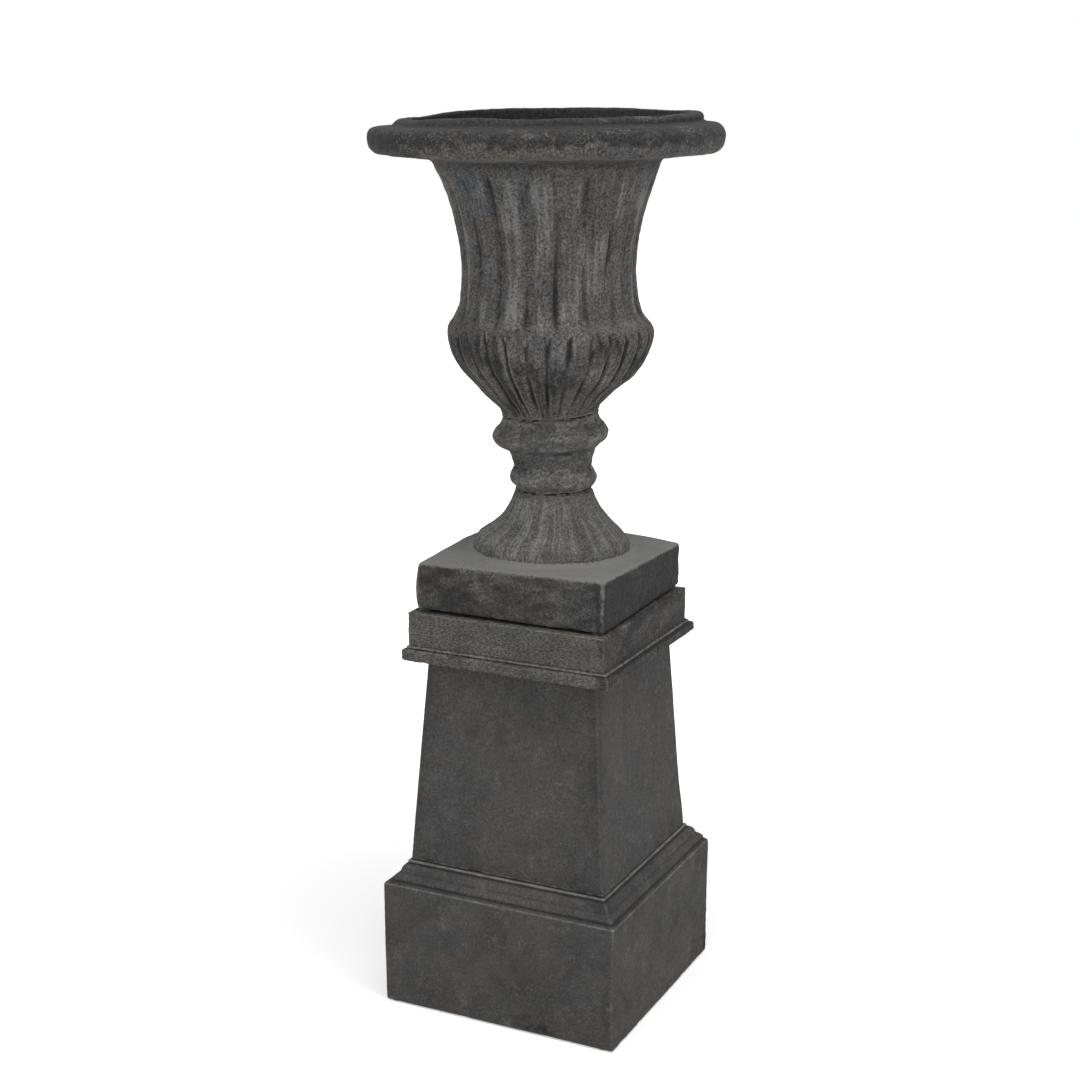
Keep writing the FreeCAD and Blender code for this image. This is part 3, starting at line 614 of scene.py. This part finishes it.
def make_plinth():
    """Square block with the ogee moulding on top, which is worn back at its left corner."""
    skin = [(144, 0), (175, 0), (175.6, 176), (172.8, 178.8), (169.4, 179.2), (169.8, 183.4),
            (166.2, 187.4, 161.4, 190.4), (160, 194.2), (157.6, 199.2, 152.4, 201.4),
            (149.6, 202.2), (151.2, 204), (150, 206.2, 146.4, 206), (140, 205.3), (70, 205.3)]
    core = [(70, 205.3), (70, 175.3), (145, 175.3), (144, 0)]
    outline, skin_rows = section(skin, core, wear=0.7, skin_step=1.4, core_step=9)
    grid = stand(squared(outline), "pedestal_plinth")
    half, height = outline[:, 0, None], outline[:, 1, None]
    left = (grid[:, :, 0] * LEFT[0] + grid[:, :, 1] * LEFT[1]) / MM
    worn_back, shift, foot_shift = 3.6, 1.1, 0.9
    aside = worn_back * ramp(height, 176, 184) * fade(height, 198, 206) * ramp(left, 140, 205)
    aside = (aside + shift + foot_shift * fade(height, 0, 120)) * MM
    grid[:, :, 0] -= aside * LEFT[0]
    grid[:, :, 1] -= aside * LEFT[1]
    low = fade(grid[:, :, 2], 0.0, 0.045) * ramp(grid[:, :, 2], 0.003, 0.01)
    corner = ramp(np.minimum(np.abs(grid[:, :, 0]), np.abs(grid[:, :, 1])), 0.12, 0.175)
    eaten = np.maximum(low, corner * 0.7) * ramp(layered(grid, 0.06, 12, 2), -0.1, 0.5)
    # Painted highlights along the top arris, the bead and the upright arrises, broken up like wear.
    worn = 0.75 + 0.35 * layered(grid, 0.012, 15, 2)
    top_edge = 0.95 * band(height, 176.6, 3) * (half > 174)
    top_bead = 0.9 * ramp(height, 203, 204.6) * (half > 147.5)
    # Painted shade in the groove under the ogee and in the quirk under the bead.
    hollows = 0.6 * band(height, 181, 4) + 0.6 * band(height, 201.6, 2.5) * (half < 153)
    tone = 0.42 * layered(grid, 0.05, 14, 4) - 0.23
    tone = tone - eaten * (0.45 + 0.8 * layered(grid, 0.007, 16, 2))
    tone = tone + (top_edge + top_bead + 0.6 * on_arris(grid, outline)) * worn - hollows
    grid = weathered(grid, skin_rows, seed=11, swell=0.35, grit=0.18, pits=0.6, chips=0.5,
                     rough=0.55 + 2.2 * eaten)
    return casting("plinth_stone", grid, "pedestal_plinth", "pedestal", PEDESTAL_STONE,
                   np.clip(tone, -1, 0.8))


def make_die():
    """Tapered hollow shaft, flared a little at the foot of its +X side."""
    skin = [(124, 0), (146, 0), (126.6, 293.7), (104.6, 293.7)]
    core = [(104.6, 293.7), (124, 0)]
    outline, skin_rows = section(skin, core, wear=0.9, skin_step=2.1, core_step=10)
    grid = stand(squared(outline), "pedestal_die")
    half, height = outline[:, 0, None], outline[:, 1, None]
    side = np.minimum(np.abs(grid[:, :, 0]), np.abs(grid[:, :, 1])) / MM / half
    flare = 2.4
    grid[:, :, 0] += flare * fade(height, 0, 90) * ramp(grid[:, :, 0], 0.02, 0.13) * MM
    # Darker towards the upright corners and the foot; the arrises are painted lighter, as highlights
    # and wear.
    corner_and_foot_dark = np.maximum(ramp(side, 0.86, 0.97), fade(height, 5, 40))
    tone = 0.28 * layered(grid * (1, 1, 0.7), 0.06, 25, 4) + 0.16 * layered(grid, 0.014, 26, 3)
    tone = tone - 0.12 - 0.22 * corner_and_foot_dark + 0.35 * on_arris(grid, outline)
    grid = weathered(grid, skin_rows, seed=23, swell=0.35, grit=0.13, pits=0.3, chips=0.7)
    return casting("die_stone", grid, "pedestal_die", "pedestal", PEDESTAL_STONE,
                   tone)


def make_cap():
    """Cap whose ledge hangs a little below the joint, as a drip edge round the die's head."""
    skin = [(100, 0), (129.5, 0), (129.5, -3.4), (150.6, -3.6), (153.8, -1.4, 154, 2.5),
            (153.8, 9.6), (153, 12.6, 149.6, 13), (147, 13.2), (148.8, 15),
            (148.2, 17, 145.3, 17.2), (145.3, 64.4), (25, 64.4)]
    core = [(25, 64.4), (25, 40.4), (100, 40.4), (100, 0)]
    outline, skin_rows = section(skin, core, wear=0.7, skin_step=1.4, core_step=8)
    grid = squared(outline)
    half, height = outline[:, 0, None], outline[:, 1, None]
    ledge_lift, fascia_shift = 3.4, 1.8
    right_back = ramp(grid[:, :, 0], 0.08, 0.15) * ramp(grid[:, :, 1], -0.15, 0.1)
    grid[:, :, 2] += ledge_lift * fade(height, 0, 7) * right_back * MM
    aside = fascia_shift * ramp(height, 14, 20) * MM
    grid[:, :, 0] += aside * LEFT[0]
    grid[:, :, 1] += aside * LEFT[1]
    grid = stand(grid, "pedestal_cap")
    # Painted highlights on the bead and the upright arrises, broken up like wear.
    worn = 0.7 + 0.4 * layered(grid, 0.012, 39, 2)
    bead = 0.8 * band(height, 15.6, 2.4) * ramp(half, 146, 147.5)
    arrises = 0.6 * on_arris(grid, outline) * (height < 62)
    tone = 0.4 * layered(grid * (1, 1, 1.6), 0.035, 38, 4) - 0.08
    # Painted shade on the +X face and in the quirk between the ledge and the bead.
    tone = tone - 0.6 * ramp(grid[:, :, 0], 0.13, 0.144) - 0.5 * band(height, 12.6, 1.6)
    tone = tone + (bead + arrises) * worn
    grid = weathered(grid, skin_rows, seed=37, swell=0.35, grit=0.36, pits=0.9, chips=0.3)
    return casting("cap_stone", grid, "pedestal_cap", "pedestal", CAP_STONE,
                   np.clip(tone, -1, 0.8))


# ---------------------------------------------------------------- urn castings

def groove(angle, count, phase, wander=0.0):
    """Degrees to the nearest groove round a casting, 0 in a groove to 1 midway, and its number."""
    pitch = 360 / count
    turn = (np.degrees(angle) - phase + wander) / pitch
    number = np.round(turn)
    off = (turn - number) * pitch
    return off, np.abs(off) * 2 / pitch, number % count


def varied(number, height, seed, low, high):
    """A value from low to high for each groove, which drifts along its height."""
    apart = 7.3
    drift_length = 55
    gain = 1.4
    points = np.stack([number * apart, height / drift_length + 0 * number, 0 * number], axis=-1)
    return low + (high - low) * (0.5 + 0.5 * np.clip(noise(points, 1.0, seed) * gain, -1, 1))


def block_lift(across, along, radius, height):
    """How far, in mm, the top and underside of the urn's uneven block are above the true ones.

    The places across and along the block run from -1 to 1.
    """
    lift = 2.9 - 1.1 * across - 0.4 * along - 3.4 * across * along
    lift = lift + 5.0 * (1 - across ** 2) * ramp(along, 0.4, 1)
    lift = lift + 2.0 * (1 - along ** 2) * ramp(-across, 0.4, 1)
    lift = (lift + 1.6 * fade(radius, 108, 124)) * ramp(height, 18, 60) * fade(height, 70, 86)
    return lift + 1.25 * (1 + across * along) * fade(height, 0, 16)


def make_foot():
    """Fluted trumpet and square block in one casting: a turned grid, squared in the block's rows."""
    half = 137.0
    block_top = 64.2
    round_from = 119.0
    skin = [(114.2, 0), (half, 0), (half, block_top), (round_from, block_top),
            (113, 65.2, 108.2, 70), (107.2, 81, 101.8, 91.6), (93.4, 98.6),
            (74.6, 115.6, 53.6, 153.5), (52.4, 155.5), (BORE, 155.5)]
    core = [(BORE, 155.5), (BORE, 133.5), (34, 133.5), (52, 92, 87.5, 69.2), (87.5, 42.2),
            (114.2, 42.2), (114.2, 0)]
    outline, skin_rows = section(skin, core, wear=1.9, skin_step=1.6, core_step=7)
    grid, angle = turned(outline, 640)
    radius = outline[:, 0, None] + 0 * angle
    height = outline[:, 1, None] + 0 * angle
    outside = np.arange(len(outline))[:, None] < skin_rows
    square = ramp(radius, round_from - 6, round_from + 6)
    square = np.where(height > block_top + 4, 0, square)
    square = np.where((radius > 100) & (height < 43), 1.0, square)
    reach = square_reach(angle, radius, 5.0)
    reach = np.where(square > 0, square * reach + (1 - square) * radius, radius)

    on_trumpet = ramp(height, 67, 78) * fade(height, 144, 153) * (radius > 50) * outside
    wander = 1.2 * streaks(angle, height, 40, 45, 61)
    _, away, number = groove(angle, TRUMPET_FLUTES, TRUMPET_PHASE, wander)
    depth = varied(number, height, 62, 0.7, 2.2)
    cut = depth * (1 - away) ** 1.8 * radius / 75
    cut += 0.5 * streaks(angle, height, 5, 60, 63)
    on_side = outside * fade(height, block_top - 4, block_top - 1) * (radius > 125)
    left_corner = np.exp(-((angle - math.radians(225)) / 0.3) ** 2)
    belly_out = np.maximum(1 - ((height - 28) / 36) ** 2, 0)
    reach = reach - on_trumpet * cut + on_side * belly_out * (0.6 + 3.0 * left_corner)

    grid[:, :, 0] = reach * MM * np.cos(angle + math.radians(BLOCK_TWIST))
    grid[:, :, 1] = reach * MM * np.sin(angle + math.radians(BLOCK_TWIST))
    across = np.clip(grid[:, :, 0] / MM / half, -1, 1)
    along = np.clip(grid[:, :, 1] / MM / half, -1, 1)
    grid[:, :, 2] += block_lift(across, along, radius, height) * outside * (radius > 90) * MM
    stand(grid, "urn_foot")
    on_top = ramp(height, block_top - 1.5, block_top - 0.2) * ramp(radius, 102, 107) * outside
    on_top = on_top * fade(height, block_top + 4, block_top + 9)
    sides = 1.3 * layered(grid, 0.05, 57, 2) + 0.5 * layered(grid, 0.018, 58, 2) * on_side
    grid = grid + grid_normals(grid) * (sides * outside * (radius > 116) * MM)[:, :, None]
    edge = outside * band(height, block_top, 5) * (radius > 128)
    grid = weathered(grid, skin_rows, seed=51, swell=0.7, grit=0.3, pits=0.8, chips=0.25,
                     rough=1 - 0.6 * on_top - 0.4 * on_trumpet - 0.4 * edge)

    # Painted light from above on the block's top, mottled.
    top_light = 0.92 + 0.28 * layered(grid, 0.028, 55, 4) + 0.14 * layered(grid, 0.005, 56, 2)
    # The trumpet's tone: painted shade in its flutes and painted light on the rest, weaker towards
    # the right-hand side, with the stone's streaks.
    lit = 0.44 - 0.5 * (1 - away) ** 1.5 * ramp(depth, 0.7, 1.8) + 0.3 * layered(grid, 0.016, 66, 3)
    lit = lit + 0.2 * streaks(angle, height, 6, 50, 64) + 0.42 * streaks(angle, height, 2.4, 55, 65)
    right = np.cos(angle - math.radians(CAMERA_AZIMUTH))
    lit = np.clip(lit * (0.5 + 0.5 * fade(right, -0.3, 0.9)), -0.6, 0.7)
    # Painted shade on the block's sides, deepest on the right-hand face, with a mottle.
    right_face = ramp(across, 0.93, 0.97)
    mottled = layered(grid * (1, 1, 1.9), 0.03, 59, 5)
    tone = on_top * top_light + on_trumpet * lit
    tone = tone - on_side * (0.6 + 0.5 * right_face + 0.65 * mottled)
    # Paler arrises and top edge of the block: wear that also stands in for highlights.
    worn = 0.6 + 0.6 * layered(grid, 0.012, 60, 2)
    arris = ramp(np.minimum(np.abs(across), np.abs(along)), 0.95, 0.985)
    edge_wear_and_light = 0.6 * arris + 0.4 * band(height, block_top - 2, 4)
    tone = np.clip(tone, -0.95, 1) + on_side * worn * edge_wear_and_light
    return casting("foot_stone_block", leaned(grid), "urn_foot", "urn", FOOT_STONE,
                   np.clip(tone, -1, 1))


def make_stem():
    """Waist with its small ring below and the knop above."""
    skin = [(BORE, 0), (51.6, 0), (52.4, 4), (58.6, 9), (59.6, 17, 56.6, 24), (53.2, 30),
            (55.8, 42, 60, 55), (68, 60.4), (75.2, 65.4), (79, 73, 76.2, 81), (72, 87), (67.4, 92),
            (65.2, 97), (65.2, 102), (BORE, 102)]
    core = [(BORE, 102), (BORE, 0)]
    outline, skin_rows = section(skin, core, wear=1.2, skin_step=1.5, core_step=8)
    grid, angle = turned(outline, 360)
    height = outline[:, 1, None] + 0 * angle
    grid = stand(grid, "urn_stem")
    ripples = layered(grid * (1, 1, 2.8), 0.018, 71, 3)
    grid = grid + grid_normals(grid) * (ripples * (outline[:, 0, None] > 50) * MM)[:, :, None]
    grid = weathered(grid, skin_rows, seed=67, swell=1.0, grit=0.4, pits=1.1, chips=1.2)
    # Painted shade on the waist under the knop, in the crease under the knop and beside the joint at
    # the foot.
    waist = 0.45 * band(height, 42, 14)
    crease_shade = 0.5 * band(height, 57.5, 4) + 0.3 * band(height, 0, 6)
    tone = 0.6 * layered(grid * (1, 1, 2.8), 0.022, 72, 4) + 0.27
    tone = tone + 0.55 * layered(grid * (1, 1, 1.8), 0.0065, 74, 2) - waist - crease_shade
    return casting("stem_stone", leaned(grid), "urn_stem", "urn", FOOT_STONE,
                   np.clip(tone, -1, 0.65))


def bell_cut(angle, height):
    """Depth of the bell's uneven flutes and the ripples along them, and each place's tone, with
    painted shade in the flutes' troughs and slits.
    """
    on_bell = ramp(height, 118, 150) * fade(height, 305, 336)
    wander = 1.6 * streaks(angle, height, 45, 60, 3)
    off, away, number = groove(angle, FLUTES, FLUTE_PHASE, wander)
    depth = varied(number, height, 31, 0.6, 3.0)
    slit = np.maximum(varied(number, height, 32, -1.6, 2.2), 0)
    trough = np.exp(-(off / 4.0) ** 2)
    cut = 1.4 * (1 - away) ** 2 + depth * trough + slit * np.exp(-(off / 1.4) ** 2)
    ripple = streaks(angle, height, 6, 60, 33)
    drift = streaks(angle, height, 14, 110, 34)
    cut += 0.6 * ripple + 0.7 * drift
    # Painted shade in the troughs and slits; the streaks and ripples are the stone's own tone.
    shade = -0.42 * trough * depth / 2 - 0.3 * slit * np.exp(-(off / 1.6) ** 2)
    shade += 0.23 - 0.34 * ripple - 0.3 * drift - 0.4 * streaks(angle, height, 2.6, 30, 45)
    return cut * on_bell, shade * on_bell


def belly_cut(angle, height):
    """Depth of the gaps between the belly's round-topped lobes, and each place's tone, with painted
    shade in the gaps and painted highlights beside them.
    """
    wander = 0.9 * streaks(angle, height, 45, 40, 5)
    off, away, number = groove(angle, GADROONS, GADROON_PHASE, wander)
    near_gap = 1 - away
    start = varied(number + 0.5 * np.sign(off) * away, 0 * height, 48, -9, 5)
    top_edge = 124 - 8 * near_gap ** 2.4 + start
    below = top_edge - height
    on_belly = ramp(below, -4, 7) * ramp(height, -1, 6)
    depth = varied(number, 1.6 * height, 36, 0.2, 1.5)
    shape = 2.8 * near_gap ** 2.0 * ramp(height, 4, 60)
    width = varied(number, 0 * height, 46, 0.9, 2.1)
    gap = np.exp(-(off / width) ** 2) * ramp(height, 1, 22)
    above = 0.5 * fade(below, -4, 3) * ramp(below, -20, -5)
    ripple = streaks(angle, height, 6, 30, 37)
    lobe_tone = varied(number + 0.5 * np.sign(off), height, 44, -0.7, 0.5)
    beside = np.exp(-((np.abs(off) - 2.6) / 0.9) ** 2)
    # Painted shade in the gaps and painted highlights on the lobes' edges beside them; each lobe's
    # own tone and the streaks are the stone's.
    shade = lobe_tone * away - 0.65 * gap * depth + 0.4 * beside * depth
    shade = shade - 0.32 - 0.4 * ripple - 0.3 * streaks(angle, height, 2.4, 9, 49)
    return on_belly * (shape + 3.2 * depth * gap + 0.6 * ripple) + above, shade * on_belly


def make_bowl():
    """Hollow bowl: lobed belly, fluted bell and rolled rim with its lip."""
    skin = [(BORE, 0), (65.3, 0), (66.6, 6), (69, 10), (108.8, 47.4), (128.8, 73.5, 140, 107),
            (138.4, 117, 131.6, 127), (123.6, 140.5, 119.2, 162), (117.4, 178, 117.2, 193),
            (125.5, 256, 148.8, 327), (151.6, 335, 158.5, 339.2), (216, 345.6),
            (229, 350.5, 233.6, 363), (232, 375.5, 214, 382), (203, 386), (201.4, 392.5, 192, 396),
            (184, 396), (184, 376), (150, 346)]
    core = [(150, 346), (128.8, 327), (106.3, 260, 99.2, 193), (101.6, 163, 107.9, 133),
            (122, 107), (116, 81.5, 99.2, 61.4), (50, 29), (BORE, 29), (BORE, 0)]
    outline, skin_rows = section(skin, core, wear=1.5, skin_step=1.9, core_step=6)
    grid, angle = turned(outline, 560)
    radius = outline[:, 0, None] + 0 * angle
    height = outline[:, 1, None] + 0 * angle
    outside = np.arange(len(outline))[:, None] < skin_rows
    body = outside & (radius < 159)
    bell, bell_tone = bell_cut(angle, height)
    belly, belly_tone = belly_cut(angle, height)
    on_rim = outside * ramp(height, 336, 345)
    dents = streaks(angle, 0 * height, 60, 1, 38) + 0.8 * streaks(angle, height, 22, 14, 39)
    cut = np.where(body, bell + belly, 0) - on_rim * dents
    grid = stand(grid, "urn_bowl")
    grid = grid - grid_normals(grid) * (cut * MM)[:, :, None]
    grid[:, :, 2] += on_rim * streaks(angle, 0 * height, 70, 1, 40) * MM
    grid = weathered(grid, skin_rows, seed=83, swell=0.8, grit=0.34, pits=0.9)

    left = -np.cos(angle - math.radians(CAMERA_AZIMUTH))
    mottled = layered(grid, 0.03, 41, 3)
    flecks = layered(grid * (1, 1, 1.7), 0.009, 47, 2)
    sooty_top = 0.95 * ramp(height + 13 * mottled, 352, 370)
    tone = on_rim * (0.5 * mottled + 0.55 * flecks - 0.1 - sooty_top)
    # Painted shade on the rim's left-hand side.
    tone = tone - 0.9 * on_rim * ramp(left, 0.5, 1.0)
    # Painted shade on the lower belly's left and right sides.
    tone = tone - 0.3 * body * fade(height, 112, 126) * ramp(np.abs(left), 0.4, 0.95)
    tone = np.maximum(tone, -0.87) - 0.13 * on_rim * ramp(height, 376, 384)
    # Painted shade inside the rim and on all the bowl's inner and under surfaces.
    tone = tone - (radius < 186) * on_rim - 1.0 * ~outside
    tone = tone + body * (bell_tone + belly_tone + 0.4 * layered(grid, 0.026, 43, 4))
    # Painted highlight on the belly's shoulder, about 130 mm up.
    tone = tone + 0.25 * body * band(height, 130, 12)
    return casting("bowl_stone", leaned(grid), "urn_bowl", "urn", URN_STONE,
                   np.clip(tone, -1, 1))


def make_bed(name, node, radius, seed):
    """Mortar squeezed out of a joint of the urn: proud in places, fallen out in others."""
    low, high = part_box(node)
    rise = (high.z - low.z) / MM
    skin = [(BORE, 0), (radius, 0), (radius + 0.6, rise / 2), (radius, rise), (BORE, rise)]
    outline, _ = section(skin, [(BORE, rise), (BORE, 0)], wear=0.4, skin_step=0.8, core_step=4)
    grid, angle = turned(outline, 300)
    rim = ramp(outline[:, 0, None], radius - 9, radius)
    lost = ramp(streaks(angle, 0 * angle, 16, 1, seed), 0.05, 0.5)
    push = rim * (0.7 * streaks(angle, 0 * angle, 7, 1, seed + 1) - 4.5 * lost)
    grid[:, :, 0] += push * np.cos(angle) * MM
    grid[:, :, 1] += push * np.sin(angle) * MM
    # Painted shade where the mortar has fallen back from the joint's face.
    tone = -0.9 * lost
    return casting(name, leaned(stand(grid, node)), node, "urn", FOOT_STONE, tone)


# ---------------------------------------------------------------- pieces the frame keeps

def finish_kept_nodes():
    """Mortar, steel and rubber on the frame's own solids."""
    finishes = {
        MORTAR: ("die_joint_bed", "cap_joint_bed"),
        STEEL: ("die_dowels", "cap_dowels", "tie_tube", "clamp_plate", "clamp_washer",
                "clamp_nut", "bowl_washer", "bowl_nut"),
        RUBBER: ("floor_pads", "urn_bumpers", "bowl_seal", "drain_plug"),
    }
    for material, names in finishes.items():
        for name in names:
            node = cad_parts[name]
            node.data.materials.clear()
            node.data.materials.append(material)


# ---------------------------------------------------------------- camera, light and floor

def make_camera():
    """Camera at the photograph's viewpoint."""
    azimuth = math.radians(CAMERA_AZIMUTH)
    pitch = math.radians(CAMERA_PITCH)
    roll = math.radians(CAMERA_ROLL)
    back = Vector((math.sin(azimuth) * math.cos(pitch), -math.cos(azimuth) * math.cos(pitch),
                   math.sin(pitch)))
    right = Vector((math.cos(azimuth), math.sin(azimuth), 0))
    up = back.cross(right)
    right_rolled = right * math.cos(roll) + up * math.sin(roll)
    up_rolled = up * math.cos(roll) - right * math.sin(roll)
    turn = Matrix((right_rolled, up_rolled, back)).transposed()
    data = bpy.data.cameras.new("camera")
    data.lens = LENS_MM
    data.sensor_width = SENSOR_MM
    camera = bpy.data.objects.new("camera", data)
    camera.matrix_world = Matrix.Translation(CAMERA_PLACE) @ turn.to_4x4()
    bpy.context.scene.collection.objects.link(camera)
    bpy.context.scene.camera = camera


def add_softbox(name, place, target, size, power):
    """White rectangular lamp turned to a target, with its power in watts."""
    data = bpy.data.lights.new(name, "AREA")
    data.shape = "RECTANGLE"
    data.size, data.size_y = size
    data.energy = power
    lamp = bpy.data.objects.new(name, data)
    lamp.location = place
    lamp.rotation_euler = (Vector(target) - Vector(place)).to_track_quat("-Z", "Y").to_euler()
    bpy.context.scene.collection.objects.link(lamp)


def make_lights():
    """Three softboxes and an even grey sky, which looks white where it is seen directly."""
    middle = (0, 0, 0.6)
    add_softbox("overhead", (0.5, -0.6, 3.4), middle, size=(2.4, 2.4), power=78)
    add_softbox("front_left", (-1.6, -3.4, 1.5), middle, size=(2.2, 2.4), power=32)
    add_softbox("right", (3.3, -1.2, 1.7), middle, size=(1.6, 2.2), power=37)
    world = bpy.data.worlds.new("studio")
    bpy.context.scene.world = world
    world.use_nodes = True
    tree = world.node_tree
    sky = tree.nodes["Background"]
    sky.inputs["Color"].default_value = (1, 1, 1, 1)
    sky.inputs["Strength"].default_value = 0.35
    white = tree.nodes.new("ShaderNodeBackground")
    white.inputs["Color"].default_value = (1, 1, 1, 1)
    white.inputs["Strength"].default_value = 1.0
    mix = tree.nodes.new("ShaderNodeMixShader")
    tree.links.new(seen_directly(tree), mix.inputs[0])
    tree.links.new(sky.outputs[0], mix.inputs[1])
    tree.links.new(white.outputs[0], mix.inputs[2])
    tree.links.new(mix.outputs[0], tree.nodes["World Output"].inputs["Surface"])


def seen_directly(tree):
    """1 for rays from the camera, or mirrored or passed on by metal and glass."""
    path = add_node(tree, "ShaderNodeLightPath")
    total = path.outputs["Is Camera Ray"]
    for other in ("Is Glossy Ray", "Is Transmission Ray"):
        node = add_node(tree, "ShaderNodeMath", operation="MAXIMUM")
        tree.links.new(total, node.inputs[0])
        tree.links.new(path.outputs[other], node.inputs[1])
        total = node.outputs[0]
    return total


def make_floor():
    """Pale floor that burns out to white away from the object and keeps its shadow beside it."""
    reach = 14.0
    mesh = bpy.data.meshes.new("floor")
    mesh.from_pydata([(-reach, -reach, 0), (reach, -reach, 0), (reach, reach, 0),
                      (-reach, reach, 0)], [], [(0, 1, 2, 3)])
    floor = bpy.data.objects.new("floor", mesh)
    bpy.context.scene.collection.objects.link(floor)
    material, tree, shader = new_material("floor_white")
    shader.inputs["Base Color"].default_value = (0.8, 0.8, 0.8, 1)
    shader.inputs["Roughness"].default_value = 0.9
    shader.inputs["Specular IOR Level"].default_value = 0.1
    place = add_node(tree, "ShaderNodeTexCoord").outputs["Object"]
    away = add_node(tree, "ShaderNodeVectorMath", operation="LENGTH")
    tree.links.new(place, away.inputs[0])
    rise = add_node(tree, "ShaderNodeMapRange", interpolation_type="SMOOTHSTEP")
    rise.inputs["From Min"].default_value = FLOOR_GLOW_FROM
    rise.inputs["From Max"].default_value = FLOOR_GLOW_TO
    rise.inputs["To Min"].default_value = FLOOR_GLOW_NEAR
    rise.inputs["To Max"].default_value = 1.0
    tree.links.new(away.outputs["Value"], rise.inputs["Value"])
    glow = add_node(tree, "ShaderNodeEmission")
    strength = times(tree, rise.outputs["Result"], seen_directly(tree))
    tree.links.new(strength, glow.inputs["Strength"])
    both = add_node(tree, "ShaderNodeAddShader")
    tree.links.new(shader.outputs[0], both.inputs[0])
    tree.links.new(glow.outputs[0], both.inputs[1])
    tree.links.new(both.outputs[0], tree.nodes["Material Output"].inputs["Surface"])
    mesh.materials.append(material)


make_camera()
make_lights()
make_floor()
make_plinth()
make_die()
make_cap()
make_foot()
make_stem()
make_bowl()
make_bed("stem_mortar", "stem_joint_bed", radius=51.8, seed=91)
make_bed("bowl_mortar", "bowl_joint_bed", radius=65.4, seed=93)
finish_kept_nodes()
bpy.context.scene.view_settings.view_transform = "Standard"
